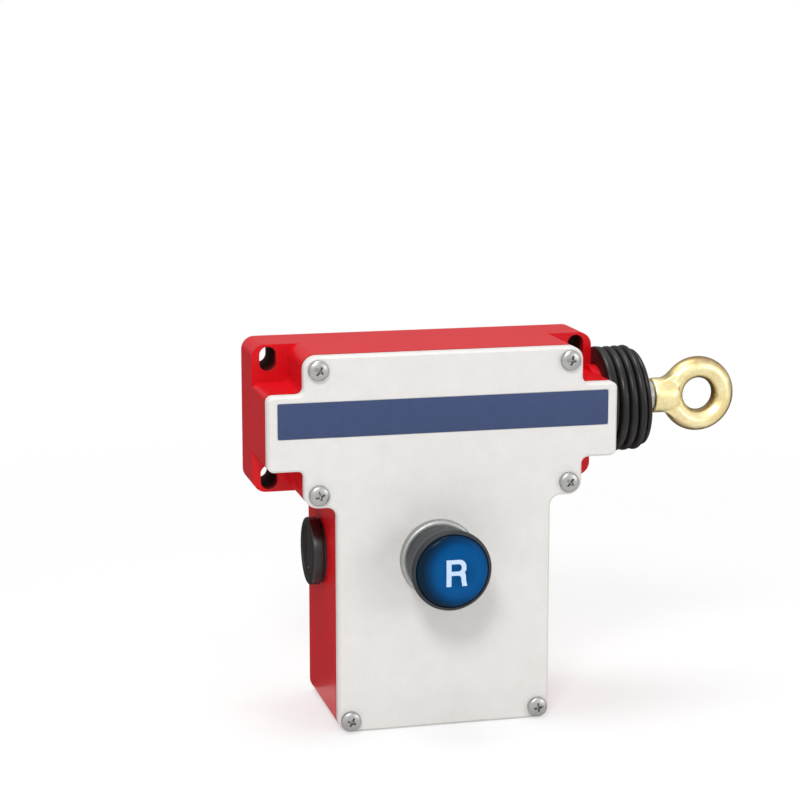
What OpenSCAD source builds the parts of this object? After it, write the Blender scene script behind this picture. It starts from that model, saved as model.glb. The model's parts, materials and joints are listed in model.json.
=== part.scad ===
// Rope pull safety switch with a latching trip mechanism and a reset button.
// +Z is up and the back face, which sits on the wall, lies at Y = 0 with the front towards -Y.
// The origin is the centre of the four mounting slots. The rope eye points along +X.

/* [Casting] */
// Half width of the upper block
block_half_w = 66.25; // [62:0.25:72]
// Half height of the upper block
block_half_h = 28; // [26:0.5:32]
// Half width of the stem below the block
stem_half_w = 40.6; // [39:0.2:44]
// Distance from the mounting centre down to the end of the stem
stem_bottom = 114; // [110:1:125]
// Depth of the casting from the wall to its front rim
casting_depth = 49; // [47:0.5:56]
// Thickness of the side walls
wall = 3; // [2.4:0.1:3.6]
// Thickness of the back wall
back_wall = 3.5; // [3:0.1:4.5]
// Radius of the outer corners
corner_r = 5; // [4:0.25:7]
// Radius of the inside corners of the outline
inner_corner_r = 2.5; // [2:0.25:4]
// Radius where the stem leaves the block
stem_fillet_r = 4; // [3:0.5:7]
// Bevel of the outer back edges
back_bevel = 0.8; // [0.3:0.1:1.5]

/* [Mounting lugs] */
// Width of the screw pocket above each lug
pocket_w = 13.55; // [12:0.05:14.5]
// Half height of the arms between the pockets
arm_half_h = 14; // [13.75:0.25:15]
// Thickness of a lug
lug_t = 22.7; // [16:0.1:26]
// Distance of a slot's middle from the block's side
slot_side = 6.25; // [5.5:0.25:7.25]
// Distance of a slot's middle from the block's top or bottom
slot_edge = 5.5; // [5.25:0.25:6.5]
// Width of a slot
slot_w = 6.4; // [5:0.1:7]
// Length of a slot
slot_l = 9.3; // [8:0.1:10]

/* [Cover] */
// Thickness of the cover plate
cover_t = 4.3; // [3.5:0.1:6]
// Bevel of the cover's front edge
cover_bevel = 0.9; // [0.3:0.1:1.2]
// Thickness of the cover gasket
gasket_t = 1; // [0.6:0.1:2]
// Inset of the gasket from the outline
gasket_inset = 0.5; // [0.2:0.1:1]
// Depth of the rib that locates the cover in the casting
cover_rib_h = 2.5; // [1.5:0.1:4]
// Thickness of that rib
cover_rib_t = 1.5; // [1:0.1:2]
// Half width of the label strip
strip_half_w = 62.5; // [56:0.5:63.5]
// Height of the label strip
strip_h = 13.1; // [8:0.1:16]
// Height of the strip's middle above the mounting centre
strip_z = 4.75; // [2:0.25:6]
// Thickness of the strip
strip_t = 0.3; // [0.2:0.05:0.5]

/* [Cover screws] */
// Distance of the upper screws from the pocket's side
screw_side = 5.2; // [4.8:0.1:6]
// Distance of the upper screws from the block's top or bottom
screw_edge = 5; // [4.8:0.1:6]
// Distance of the bottom screws from the stem's side
low_screw_side = 4.5; // [4.4:0.1:6]
// Distance of the bottom screws above the stem's end
low_screw_rise = 4.5; // [4.2:0.1:6]
// Diameter of the screw thread
screw_d = 4; // [3:0.1:4.4]
// Diameter of the screw head
screw_head_d = 7.6; // [6.4:0.1:8]
// Height of the screw head
screw_head_h = 2.5; // [1.8:0.1:3]
// Length of the screw under its head
screw_l = 16; // [12:1:24]
// Radius of the screw bosses
boss_r = 4.6; // [4:0.1:5]

/* [Rope shaft] */
// Depth of the rope axis in front of the wall
rope_depth = 27; // [25:0.5:29]
// Height of the rope axis
rope_z = 3; // [2:0.25:4]
// Diameter of the pull shaft
shaft_d = 10; // [8:0.1:11]
// Diameter of the threaded tail of the shaft
tail_d = 8; // [6:0.1:9]
// Travel of the shaft from slack to full pull
shaft_travel = 8; // [4:0.5:8.5]
// Reach of the shaft's tail to the left of the middle
tail_reach = 60; // [58:0.25:61]
// Place of the spring washer to the left of the middle
washer_x = 47; // [44:0.25:49]
// Outer diameter of the shaft bushes
bush_d = 16; // [14:0.5:18]
// Diameter of the bush flanges
bush_flange_d = 20; // [18:0.5:21]
// Thickness of the bush flanges
bush_flange_t = 2; // [1.5:0.1:3]
// Place of the inner rib's right face to the left of the middle
rib_x = 12; // [11.5:0.25:13]
// Thickness of the inner rib
rib_t = 4; // [3:0.25:6]
// Length of shaft held in the eye's shank
shaft_grip = 8.5; // [7:0.5:9]
// Diameter of the sleeve between the bush and the eye
sleeve_d = 12.2; // [11.6:0.1:12.8]
// Length of the spigot that carries the bellows
spigot_l = 3.75; // [3:0.25:5]
// Diameter of that spigot
spigot_d = 26; // [22:0.5:30]

/* [Main spring] */
// Wire diameter of the main spring
spring_wire = 2.4; // [1.6:0.1:2.6]
// Mean diameter of the main spring
spring_d = 16; // [14:0.25:17]
// Number of turns of the main spring
spring_turns = 6; // [4:0.5:7]

/* [Rope eye] */
// Diameter of the shank
shank_d = 13.6; // [13:0.1:15]
// Distance of the shank's end from the middle
shank_x = 88.8; // [87.5:0.1:90]
// Distance of the eye's centre from the middle
eye_x = 108.4; // [104:0.25:116]
// Outer diameter of the eye
eye_d = 29.2; // [27:0.2:32]
// Diameter of the eye's hole
eye_hole_d = 12.4; // [11:0.1:13]
// Thickness of the eye's ring
eye_ring_t = 9.2; // [8.8:0.1:10.5]
// Radius of the forged neck between shank and ring
eye_neck_r = 9; // [5:0.5:12]
// Bevel of the shank's end
shank_bevel = 0.9; // [0.4:0.1:1.2]

/* [Bellows] */
// Outer diameter of the bellows
bellows_d = 40.6; // [38:0.2:43]
// Length of the plain collar that grips the spigot
bellows_collar_l = 4.25; // [3.5:0.25:4.75]
// Depth of its folds
fold_depth = 2.4; // [1.5:0.1:3]
// Distance from one fold to the next
fold_pitch = 3.35; // [3:0.05:3.6]
// Number of folds
folds = 4; // [3:1:4]
// Thickness of the rubber
rubber_t = 1.3; // [0.9:0.05:1.6]

/* [Trip rocker] */
// Height of the rocker's pivot below the mounting centre
pivot_drop = 27; // [25:0.5:29]
// Diameter of the rocker's pivot pin
pivot_d = 6; // [5:0.1:7]
// Thickness of the rocker plate
rocker_t = 4; // [3:0.1:4.5]
// Length of the rocker's hub behind the plate
hub_l = 5.4; // [4:0.2:5.8]
// Side reach of the rocker's pads
pad_x = 16; // [15:0.25:17]
// Radius of the rocker's pads
pad_r = 3; // [2.5:0.1:3.5]
// Diameter of the drive pin
drive_pin_d = 4; // [3:0.1:4.5]

/* [Contact blocks] */
// Width of a contact block
block_w = 22; // [18:0.25:22]
// Height of a contact block
block_h = 40; // [36:0.5:44]
// Depth of a contact block
block_d = 22; // [20:0.25:23]
// Thickness of the pad on the back wall under the blocks
seat_t = 2.5; // [1.5:0.1:4]
// Side of the square plungers
plunger_w = 5; // [4:0.1:5.5]
// Length of a plunger
plunger_l = 9.6; // [8.5:0.1:10]

/* [Reset button] */
// Height of the button below the mounting centre
reset_drop = 49; // [48:0.25:52]
// Distance of the button left of the middle
reset_shift = 2.7; // [0:0.1:2.8]
// Travel of the button
reset_travel = 4; // [2:0.25:4]
// Diameter of the bezel
bezel_d = 29.4; // [28:0.2:34]
// Height of the bezel
bezel_h = 3.2; // [2.5:0.1:4]
// Length of the neck behind the cover
neck_l = 14; // [12:0.5:14.5]
// Diameter of the neck in the cover
neck_d = 22; // [20:0.5:24]
// Diameter of the cap
cap_d = 27.2; // [25:0.2:27.4]
// Distance of the cap's front from the cover
cap_reach = 22.5; // [20:0.25:24]
// Diameter of the boot at its rim
rim_d = 30; // [28.5:0.25:32]
// Thickness of the cap
cap_t = 5.5; // [5:0.25:6.5]
// Height of the cap's crown
cap_crown = 1.6; // [0.8:0.1:2.4]
// Diameter of the reset plunger
reset_stem_d = 8; // [7:0.1:9]
// Diameter of the lock nut
locknut_d = 29; // [27:0.5:32]
// Thickness of the lock nut
locknut_t = 5; // [4:0.25:6]

/* [Cable entries] */
// Height of the side entries below the mounting centre
entry_drop = 51.8; // [50:0.2:56]
// Depth of the entries in front of the wall
entry_depth = 22.6; // [20:0.2:25]
// Bore of an entry
entry_d = 20; // [16:0.5:20.5]
// Length of thread in an entry
entry_l = 9; // [7:0.25:9.5]
// Diameter of a blanking plug's head
plug_d = 25.8; // [25:0.1:28]
// Height of a blanking plug's head
plug_h = 5.2; // [4:0.2:9]
// Bevel of the plug's rim
plug_bevel = 1; // [0.5:0.1:2]

/* [Clearances] */
// Radial clearance of running fits
run_gap = 0.05; // [0.02:0.01:0.1]
// Radial clearance of a screw in its hole
thread_gap = 0.1; // [0.05:0.01:0.2]
// Gap between pieces that pass or stop on each other
gap = 0.3; // [0.2:0.05:0.5]

/* [Hidden] */
$fn = 48;
eps = 0.01;

// Colours
red = [0.78, 0.07, 0.09];
cover_grey = [0.88, 0.87, 0.86];
navy = [0.20, 0.23, 0.42];
black = [0.10, 0.10, 0.11];
steel = [0.66, 0.67, 0.69];
zinc_yellow = [0.82, 0.70, 0.38];
bronze = [0.72, 0.52, 0.28];
blue = [0.03, 0.28, 0.58];
dark_grey = [0.22, 0.24, 0.26];
ivory = [0.86, 0.84, 0.76];

// Fixed sizes of the small pieces
blind_y = -1.5;
rocker_gap = 1.6;
hub_wall = 4;
tail_half_w = 3.2;
tail_l = 2;
plunger_room = 1.3;
rib_front = 11;
rib_drop = 21;
entry_wall = 3;
seal_t = 1.2;
clip_t = 0.7;
nut_t = 4.6;
block_screw_d = 3;
block_screw_out = 7.5;
block_screw_in = 4.5;
screw_bite = 3.5;
small_head_d = 5.6;
small_head_h = 2;
terminal_out = 5.28;
terminal_drop = 16;
terminal_pitch = 12;
terminal_floor = 3;
terminal_size = 8.4;
terminal_screw_d = 3;
terminal_screw_l = 5.4;
terminal_head_d = 5.4;
terminal_head_h = 1.8;
clamp_t = 1;
reset_spring_d = 13;
reset_wire = 1;
cap_face_t = 3.2;
rim_back = 2.8;
tip_r = 2;
latch_gap = 0.5;
latch_arm_l = 10;
latch_half_w = 3.2;
latch_boss_r = 3.4;
latch_plate_t = 2.2;
latch_rise = 6;
nose_t = 1.8;
latch_pin_r = 1.5;
latch_spring_half = 1.3;
ear_t = 1;
ear_r = 2.8;
bracket_base_t = 1;
earth_x = 26;
earth_z = -97;
earth_seat_y = -16;
earth_boss_r = 5;
earth_l = 10;

// Places that follow from the outline
head_half_w = block_half_w - pocket_w;
slot_x = block_half_w - slot_side;
slot_z = block_half_h - slot_edge;
screw_x = head_half_w - screw_side;
screw_z = block_half_h - screw_edge;
low_screw_x = stem_half_w - low_screw_side;

// Planes along the depth
rim_y = -casting_depth;
cover_back_y = rim_y - gasket_t;
cover_front_y = cover_back_y - cover_t;
seat_y = -back_wall - seat_t;
lug_front_y = -lug_t;
rope_y = -rope_depth;

// Where the mechanism lies
pivot_z = -pivot_drop;
arm_l = rope_z - pivot_z;
half_swing = shaft_travel / 2 / arm_l * 180 / PI;
shaft_r = shaft_d / 2;
rocker_front_y = rope_y + shaft_r + rocker_gap;
rocker_back_y = rocker_front_y + rocker_t;
hub_r = pivot_d / 2 + hub_wall;
hub_back_y = rocker_back_y + hub_l;
pad_rise = pad_x * sin(half_swing);
block_front_y = seat_y - block_d;
block_top_z = pivot_z - pad_r - pad_rise - 2 * gap - plunger_room;
block_bottom_z = block_top_z - block_h;
plunger_y = rocker_front_y + rocker_t / 2;
bush_face_x = head_half_w - wall;
spigot_end_x = block_half_w + spigot_l;
shaft_end_x = shank_x + shaft_grip;
drive_pin_x = -shaft_travel / 2;
rib_left_x = -rib_x - rib_t;
spring_end_x = rib_left_x - bush_flange_t;

// The reset button and its latch
reset_x = -reset_shift;
reset_z = -reset_drop;
bezel_front_y = cover_front_y - bezel_h;
cap_front_y = cover_front_y - cap_reach;
cap_back_y = cap_front_y + cap_t;
neck_end_y = cover_back_y + neck_l;
tip_y = block_front_y;
latch_face_y = tip_y + latch_gap;
latch_y = latch_face_y + 3;
latch_z = reset_z + latch_arm_l;
latch_throw = reset_travel / (latch_z - reset_z) * 180 / PI;
ear_x = latch_half_w + 0.4;

// Turning about the Y axis puts the rocker at slack
module at_rocker() {
  translate([0, 0, pivot_z]) rotate([0, -half_swing, 0]) children();
}

// ---- Round bars and slabs along an axis ----
module rod_x(y, z, x0, x1, r, r_end) {
  translate([x0, y, z]) rotate([0, 90, 0])
    cylinder(h = x1 - x0, r1 = r, r2 = is_undef(r_end) ? r : r_end);
}

module rod_y(x, z, y0, y1, r, r_end) {
  translate([x, y0, z]) rotate([-90, 0, 0])
    cylinder(h = y1 - y0, r1 = r, r2 = is_undef(r_end) ? r : r_end);
}

module rod_z(x, y, z0, z1, r, r_end) {
  translate([x, y, z0]) cylinder(h = z1 - z0, r1 = r, r2 = is_undef(r_end) ? r : r_end);
}

// A shape drawn as seen from the front, between two depths
module slab(y0, y1) {
  translate([0, y1, 0]) rotate([90, 0, 0]) linear_extrude(y1 - y0) children();
}

module mirrored_x() {
  children();
  mirror([1, 0, 0]) children();
}

// ---- Outlines with square turns and rounded corners ----
// An outline is a list of [x, z, radius], anticlockwise as seen from the front.
function at(list, i) = list[(i + len(list)) % len(list)];
function flat(v) = [v[0], v[1]];
function heading(list, i) =
  let (d = flat(at(list, i + 1)) - flat(at(list, i))) d / norm(d);
function left_of(d) = [-d[1], d[0]];
function turns_left(list, i) = heading(list, i - 1) * left_of(heading(list, i)) < 0;
function corner_start(list, i) = flat(at(list, i)) - at(list, i)[2] * heading(list, i - 1);
function corner_end(list, i) = flat(at(list, i)) + at(list, i)[2] * heading(list, i);
function corner_centre(list, i) =
  flat(at(list, i)) + at(list, i)[2] * (heading(list, i) - heading(list, i - 1));
function inset(list, d) = [
  for (i = [0 : len(list) - 1])
    let (v = flat(list[i]) + d * (left_of(heading(list, i - 1)) + left_of(heading(list, i))))
    [v[0], v[1], turns_left(list, i) ? max(list[i][2] - d, 0.6) : list[i][2] + d]
];

module outline(list) {
  last = len(list) - 1;
  difference() {
    union() {
      polygon([for (i = [0 : last]) each [corner_start(list, i), corner_end(list, i)]]);
      for (i = [0 : last]) if (turns_left(list, i))
        translate(corner_centre(list, i)) circle(list[i][2]);
    }
    for (i = [0 : last]) if (!turns_left(list, i))
      translate(corner_centre(list, i)) circle(list[i][2]);
  }
}

// Cuts a 45 degree bevel of width b round an outline. The beveled face is the one at y;
// side is 1 when the solid lies behind that face, towards +Y, and -1 when it lies in front.
module bevel_cut(list, y, b, side) {
  translate([0, y, 0]) mirror([0, side < 0 ? 1 : 0, 0])
    for (i = [0 : len(list) - 1]) {
      edge_bevel(corner_end(list, i), corner_start(list, i + 1), b);
      translate([corner_centre(list, i)[0], 0, corner_centre(list, i)[1]])
        if (turns_left(list, i))
          outer_corner_bevel(list[i][2], b, heading(list, i - 1) - heading(list, i));
        else
          depth_cone(list[i][2] + b, list[i][2], b);
    }
}

over = 0.5;

// A cone along +Y whose radius is r0 at the face and r1 at depth b, carried on a little in front
module depth_cone(r0, r1, b) {
  rotate([-90, 0, 0]) translate([0, 0, -over])
    cylinder(h = b + over, r1 = r0 + (r0 - r1) / b * over, r2 = r1);
}

module edge_bevel(start, finish, b) {
  run = finish - start;
  translate([start[0], 0, start[1]]) rotate([0, -atan2(run[1], run[0]), 0])
    rotate([90, 0, 90]) linear_extrude(norm(run))
      polygon([[-over, -over], [-over, b + over], [b + over, -over]]);
}

// The bevel round an outer corner of radius r; towards points out of the corner
module outer_corner_bevel(r, b, towards) {
  reach = r + over;
  difference() {
    translate([towards[0] < 0 ? -reach : 0, -over, towards[1] < 0 ? -reach : 0])
      cube([reach, b + over, reach]);
    depth_cone(r - b, r, b);
  }
}

// Back outline: the upper block with its lugs, and the stem
back_outline = [
  [block_half_w, block_half_h, corner_r],
  [-block_half_w, block_half_h, corner_r],
  [-block_half_w, -block_half_h, corner_r],
  [-stem_half_w, -block_half_h, stem_fillet_r],
  [-stem_half_w, -stem_bottom, corner_r],
  [stem_half_w, -stem_bottom, corner_r],
  [stem_half_w, -block_half_h, stem_fillet_r],
  [block_half_w, -block_half_h, corner_r]
];

// Front outline: the same with the screw pockets cut out of the four corners
front_outline = [
  [block_half_w, arm_half_h, inner_corner_r],
  [head_half_w, arm_half_h, inner_corner_r],
  [head_half_w, block_half_h, corner_r],
  [-head_half_w, block_half_h, corner_r],
  [-head_half_w, arm_half_h, inner_corner_r],
  [-block_half_w, arm_half_h, inner_corner_r],
  [-block_half_w, -arm_half_h, inner_corner_r],
  [-head_half_w, -arm_half_h, inner_corner_r],
  [-head_half_w, -block_half_h, corner_r],
  [-stem_half_w, -block_half_h, stem_fillet_r],
  [-stem_half_w, -stem_bottom, corner_r],
  [stem_half_w, -stem_bottom, corner_r],
  [stem_half_w, -block_half_h, stem_fillet_r],
  [head_half_w, -block_half_h, corner_r],
  [head_half_w, -arm_half_h, inner_corner_r],
  [block_half_w, -arm_half_h, inner_corner_r]
];

// Places of the cover screws
screw_places = [
  for (side = [-1, 1]) each [
    [side * screw_x, screw_z],
    [side * screw_x, -screw_z],
    [side * low_screw_x, -stem_bottom + low_screw_rise]
  ]
];

// ---- Fasteners and springs ----
// A pan head screw along Y: its head sits in front of y and its thread runs behind it
module pan_screw(x, z, y, d, length, head_d, head_h) {
  dome_r = head_d * 0.9;
  recess = [head_d * 0.55, head_h, head_d * 0.13];
  recess_turn = 20;
  difference() {
    union() {
      rod_y(x, z, y - eps, y + length - 0.5, d / 2);
      rod_y(x, z, y + length - 0.5, y + length, d / 2, d / 2 - 0.5);
      intersection() {
        rod_y(x, z, y - head_h, y, head_d / 2);
        translate([x, y - head_h + dome_r, z]) sphere(r = dome_r);
      }
    }
    for (turn = [0, 90])
      translate([x, y - head_h, z]) rotate([0, turn + recess_turn, 0])
        cube(recess, center = true);
  }
}

// A coil spring along Z from 0 to length. Its end turns lie closed unless it is evenly wound
// and can run out into a straight leg
module coil(mean_d, wire, turns, length, sides = 8, steps = 16, closed = true, leg = 0) {
  rise = length - wire;
  count = turns * steps;
  function lift(t) = // the end turns close up at one wire's pitch
    let (end = wire / rise, free = (1 - 2 * end) / (turns - 2), n = t * turns)
    !closed ? t : n < 1 ? n * end : n > turns - 1 ? 1 - (turns - n) * end : end + (n - 1) * free;
  function ring(t) = [
    for (j = [0 : sides - 1])
      let (a = 360 * turns * t, b = 360 * j / sides, r = mean_d / 2 + wire / 2 * cos(b))
      [r * cos(a), r * sin(a), wire / 2 + rise * lift(t) + wire / 2 * sin(b)]
  ];
  way_out = leg * [-sin(360 * turns), cos(360 * turns), 0];
  rings = concat([for (i = [0 : count]) ring(i / count)], leg > 0 ? [[for (p = ring(1)) p + way_out]] : []);
  last = len(rings) - 1;
  points = [for (r = rings) each r];
  faces = concat(
    [[for (j = [0 : sides - 1]) j]],
    [for (i = [0 : last - 1]) for (j = [0 : sides - 1])
      let (k = (j + 1) % sides)
      [i * sides + j, (i + 1) * sides + j, (i + 1) * sides + k, i * sides + k]],
    [[for (j = [sides - 1 : -1 : 0]) last * sides + j]]
  );
  polyhedron(points = points, faces = faces, convexity = 10);
}

// ---- Casting ----
module mounting_slot(x, z) {
  half = (slot_l - slot_w) / 2;
  slab(lug_front_y - 1, 1) translate([x, z]) {
    for (end = [-half, half]) translate([0, end]) circle(slot_w / 2);
    square([slot_w, 2 * half], center = true);
  }
}

module casting_shell() {
  difference() {
    union() {
      slab(lug_front_y, 0) outline(back_outline);
      slab(rim_y, lug_front_y + eps) outline(front_outline);
    }
    slab(rim_y - 1, -back_wall) outline(inset(front_outline, wall));
    bevel_cut(back_outline, 0, back_bevel, -1);
  }
}

module casting_inside() {
  intersection() {
    slab(rim_y, -back_wall / 2) outline(inset(front_outline, wall / 2));
    union() {
      for (p = screw_places) rod_y(p[0], p[1], rim_y, -back_wall / 2, boss_r);
      // Seat of the contact blocks and the latch bracket
      translate([-pad_x - block_w / 2 - 1, seat_y, block_bottom_z - 1])
        cube([2 * pad_x + block_w + 2, seat_t + eps, block_h + 2]);
      rod_y(0, pivot_z, hub_back_y + gap, -back_wall / 2, hub_r);
      // Boss of the right shaft bush, and the rib that carries the left one
      rod_x(rope_y, rope_z, bush_face_x, block_half_w, spigot_d / 2 - 2);
      translate([rib_left_x, rope_y - rib_front, rope_z - rib_drop])
        cube([rib_t, -rope_y + rib_front - back_wall / 2, block_half_h - rope_z + rib_drop]);
      for (side = [-1, 1])
        translate([side * (stem_half_w - wall / 2 - entry_l / 2), -entry_depth, -entry_drop])
          rotate([0, 90, 0]) cylinder(h = entry_l, r = entry_d / 2 + entry_wall, center = true);
      rod_z(0, -entry_depth, -stem_bottom + wall / 2, -stem_bottom + entry_l, entry_d / 2 + entry_wall);
      rod_y(earth_x, earth_z, earth_seat_y, -back_wall / 2, earth_boss_r);
    }
  }
}

module casting() {
  color(red) difference() {
    union() {
      casting_shell();
      casting_inside();
      rod_x(rope_y, rope_z, block_half_w - wall, spigot_end_x, spigot_d / 2);
    }
    for (x = [-slot_x, slot_x]) for (z = [-slot_z, slot_z]) mounting_slot(x, z);
    for (p = screw_places)
      rod_y(p[0], p[1], rim_y - 1, cover_front_y + screw_l + 2, screw_d / 2 + thread_gap);
    // Bores of the shaft bushes
    rod_x(rope_y, rope_z, bush_face_x - 1, spigot_end_x + 1, bush_d / 2);
    rod_x(rope_y, rope_z, rib_left_x - 1, -rib_x + 1, bush_d / 2);
    // Cable entries
    for (side = [-1, 1])
      translate([side * (stem_half_w - entry_l / 2), -entry_depth, -entry_drop])
        rotate([0, 90, 0]) cylinder(h = entry_l + 2, r = entry_d / 2, center = true);
    rod_z(0, -entry_depth, -stem_bottom - 1, -stem_bottom + entry_l + 1, entry_d / 2);
    rod_y(0, pivot_z, hub_back_y - 1, blind_y, pivot_d / 2 + run_gap);
    for (p = block_screw_places) rod_y(p[0], p[1], seat_y - 1, blind_y, block_screw_d / 2 + thread_gap);
    rod_y(0, bracket_screw_z, seat_y - 1, blind_y, block_screw_d / 2 + thread_gap);
    rod_y(earth_x, earth_z, earth_seat_y - 1, earth_seat_y + earth_l, screw_d / 2 + thread_gap);
  }
}

// ---- Cover ----
// A rim gasket with an eyelet round each screw
module cover_gasket() {
  color(black) slab(cover_back_y, rim_y) difference() {
    outline(inset(front_outline, gasket_inset));
    difference() {
      outline(inset(front_outline, wall));
      for (p = screw_places) translate(p) circle(boss_r - gap);
    }
    for (p = screw_places) translate(p) circle(screw_d / 2 + gap);
  }
}

module cover_plate() {
  color(cover_grey) difference() {
    union() {
      slab(cover_front_y, cover_back_y) outline(front_outline);
      // Locating rib, which passes round the screw bosses
      slab(cover_back_y - eps, rim_y + cover_rib_h) difference() {
        outline(inset(front_outline, wall + gap));
        outline(inset(front_outline, wall + gap + cover_rib_t));
        for (p = screw_places) translate(p) circle(boss_r + gap);
      }
    }
    bevel_cut(front_outline, cover_front_y, cover_bevel, 1);
    for (p = screw_places)
      rod_y(p[0], p[1], cover_front_y - 1, cover_back_y + 1, screw_d / 2 + gap);
    rod_y(reset_x, reset_z, cover_front_y - 1, cover_back_y + 1, neck_d / 2 + gap);
    slab(cover_front_y - 1, cover_front_y + strip_t / 2) strip_outline(gap / 2);
  }
}

module strip_outline(grow) {
  translate([0, strip_z]) square([2 * (strip_half_w + grow), strip_h + 2 * grow], center = true);
}

module label_strip() {
  color(navy) slab(cover_front_y - strip_t / 2, cover_front_y + strip_t / 2) strip_outline(0);
}

module cover_screws() {
  color(steel) for (p = screw_places)
    pan_screw(p[0], p[1], cover_front_y, screw_d, screw_l, screw_head_d, screw_head_h);
}

// ---- Cable entries ----
module entry_plug() {
  head_r = plug_d / 2;
  face_x = -stem_half_w - plug_h;
  rod_x(-entry_depth, -entry_drop, face_x, face_x + plug_bevel, head_r - plug_bevel, head_r);
  rod_x(-entry_depth, -entry_drop, face_x + plug_bevel - eps, -stem_half_w - seal_t, head_r);
  rod_x(-entry_depth, -entry_drop, -stem_half_w - seal_t - eps, -stem_half_w + entry_l,
    entry_d / 2 - thread_gap);
}

module plug_slot() {
  slot_w = 2.6;
  slot_depth = 2.5;
  translate([-stem_half_w - plug_h, -entry_depth, -entry_drop])
    cube([2 * slot_depth, slot_w, plug_d * 0.6], center = true);
}

module left_entry_plug() {
  color(black) difference() {
    entry_plug();
    plug_slot();
  }
}

module right_entry_plug() {
  mirror([1, 0, 0]) left_entry_plug();
}

module plug_seals() {
  color(dark_grey) mirrored_x() difference() {
    rod_x(-entry_depth, -entry_drop, -stem_half_w - seal_t, -stem_half_w, plug_d / 2 - 0.8);
    rod_x(-entry_depth, -entry_drop, -stem_half_w - seal_t - 1, -stem_half_w + 1, entry_d / 2);
  }
}

// ---- Rope shaft ----
module bush(x_face, x_end) {
  difference() {
    union() {
      rod_x(rope_y, rope_z, x_face - bush_flange_t, x_face, bush_flange_d / 2);
      rod_x(rope_y, rope_z, x_face - eps, x_end, bush_d / 2 - run_gap / 2);
    }
    rod_x(rope_y, rope_z, x_face - bush_flange_t - 1, x_end + 1, shaft_r + run_gap);
  }
}

module shaft_bushes() {
  color(bronze) {
    bush(bush_face_x, spigot_end_x);
    bush(rib_left_x, -rib_x);
  }
}

module pull_shaft() {
  color(steel) difference() {
    union() {
      rod_x(rope_y, rope_z, -washer_x, shaft_end_x - 1, shaft_r);
      rod_x(rope_y, rope_z, shaft_end_x - 1 - eps, shaft_end_x, shaft_r, shaft_r - 1);
      rod_x(rope_y, rope_z, -tail_reach + 1, -washer_x + eps, tail_d / 2);
      rod_x(rope_y, rope_z, -tail_reach, -tail_reach + 1 + eps, tail_d / 2 - 1, tail_d / 2);
    }
    rod_y(drive_pin_x, rope_z, rope_y - shaft_r - 1, rope_y + shaft_r + 1, drive_pin_d / 2 + run_gap);
  }
}

// Sleeve that spaces the eye from the bush; the bellows grips it
module shaft_sleeve() {
  start_x = spigot_end_x + gap;
  color(steel) difference() {
    rod_x(rope_y, rope_z, start_x, shank_x, sleeve_d / 2);
    rod_x(rope_y, rope_z, start_x - 1, shank_x + 1, shaft_r + run_gap);
  }
}

module drive_pin() {
  color(steel) rod_y(drive_pin_x, rope_z, rope_y - shaft_r + 0.5, rocker_back_y + 1, drive_pin_d / 2);
}

module spring_washer() {
  color(steel) difference() {
    rod_x(rope_y, rope_z, -washer_x - 2, -washer_x, (spring_d + spring_wire) / 2);
    rod_x(rope_y, rope_z, -washer_x - 3, -washer_x + 1, tail_d / 2 + run_gap);
  }
}

module shaft_nuts() {
  color(steel) for (i = [0, 1]) difference() {
    translate([-washer_x - 2 - (i + 1) * nut_t + i * -0.2, rope_y, rope_z])
      rotate([0, 90, 0]) cylinder(h = nut_t, d = tail_d * 1.87, $fn = 6);
    rod_x(rope_y, rope_z, -tail_reach - 5, -washer_x + 1, tail_d / 2 + run_gap);
  }
}

module main_spring() {
  color(steel) translate([-washer_x, rope_y, rope_z]) rotate([0, 90, 0])
    coil(spring_d, spring_wire, spring_turns, spring_end_x + washer_x);
}

// ---- Rope eye ----
// Profile of the shank, turned about the rope axis
module shank() {
  r = shank_d / 2;
  root_x = eye_x - eye_d / 2 + 2;
  rod_x(rope_y, rope_z, shank_x, shank_x + shank_bevel, r - shank_bevel, r);
  rod_x(rope_y, rope_z, shank_x + shank_bevel - eps, root_x, r);
  translate([root_x, rope_y, rope_z]) sphere(r = r);
}

// Web that blends the shank into the ring, seen from the front
module neck_web() {
  ring_r = eye_d / 2 - 0.8;
  half = shank_d / 2 - 1;
  back = sqrt(pow(ring_r + eye_neck_r, 2) - pow(half + eye_neck_r, 2));
  touch = back * ring_r / (ring_r + eye_neck_r);
  touch_z = (half + eye_neck_r) * ring_r / (ring_r + eye_neck_r);
  difference() {
    polygon([[-back, -half], [-touch, -touch_z], [0, 0], [-touch, touch_z], [-back, half]]);
    for (side = [-1, 1]) translate([-back, side * (half + eye_neck_r)]) circle(eye_neck_r);
  }
}

module rope_eye() {
  section_r = eye_ring_t / 2;
  color(zinc_yellow) difference() {
    union() {
      shank();
      translate([eye_x, rope_y, rope_z]) rotate([90, 0, 0]) {
        rotate_extrude() translate([eye_d / 2 - section_r, 0]) circle(section_r);
        linear_extrude(eye_ring_t * 0.78, center = true) neck_web();
      }
    }
    rod_y(eye_x, rope_z, rope_y - eye_ring_t, rope_y + eye_ring_t, eye_hole_d / 2);
    rod_x(rope_y, rope_z, shank_x - 1, shaft_end_x + 0.5, shaft_r + thread_gap);
  }
}

// ---- Bellows ----
bellows_start_x = block_half_w;
fold_start_x = bellows_start_x + bellows_collar_l;
fold_end_x = fold_start_x + folds * fold_pitch;
bellows_end_x = fold_end_x + 1.6;
cuff_r = sleeve_d / 2 + gap / 2;

// Outside of the folds, as points [x, radius]: one half ellipse for each fold
function fold_line(tip) = concat(
  [for (i = [0 : folds - 1]) for (a = [0 : 20 : 160])
    [fold_start_x + (i + 0.5 - 0.5 * cos(a)) * fold_pitch, tip - fold_depth * (1 - sin(a))]],
  [[fold_end_x, tip - fold_depth]]
);
function backwards(list) = [for (i = [len(list) - 1 : -1 : 0]) list[i]];

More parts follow.
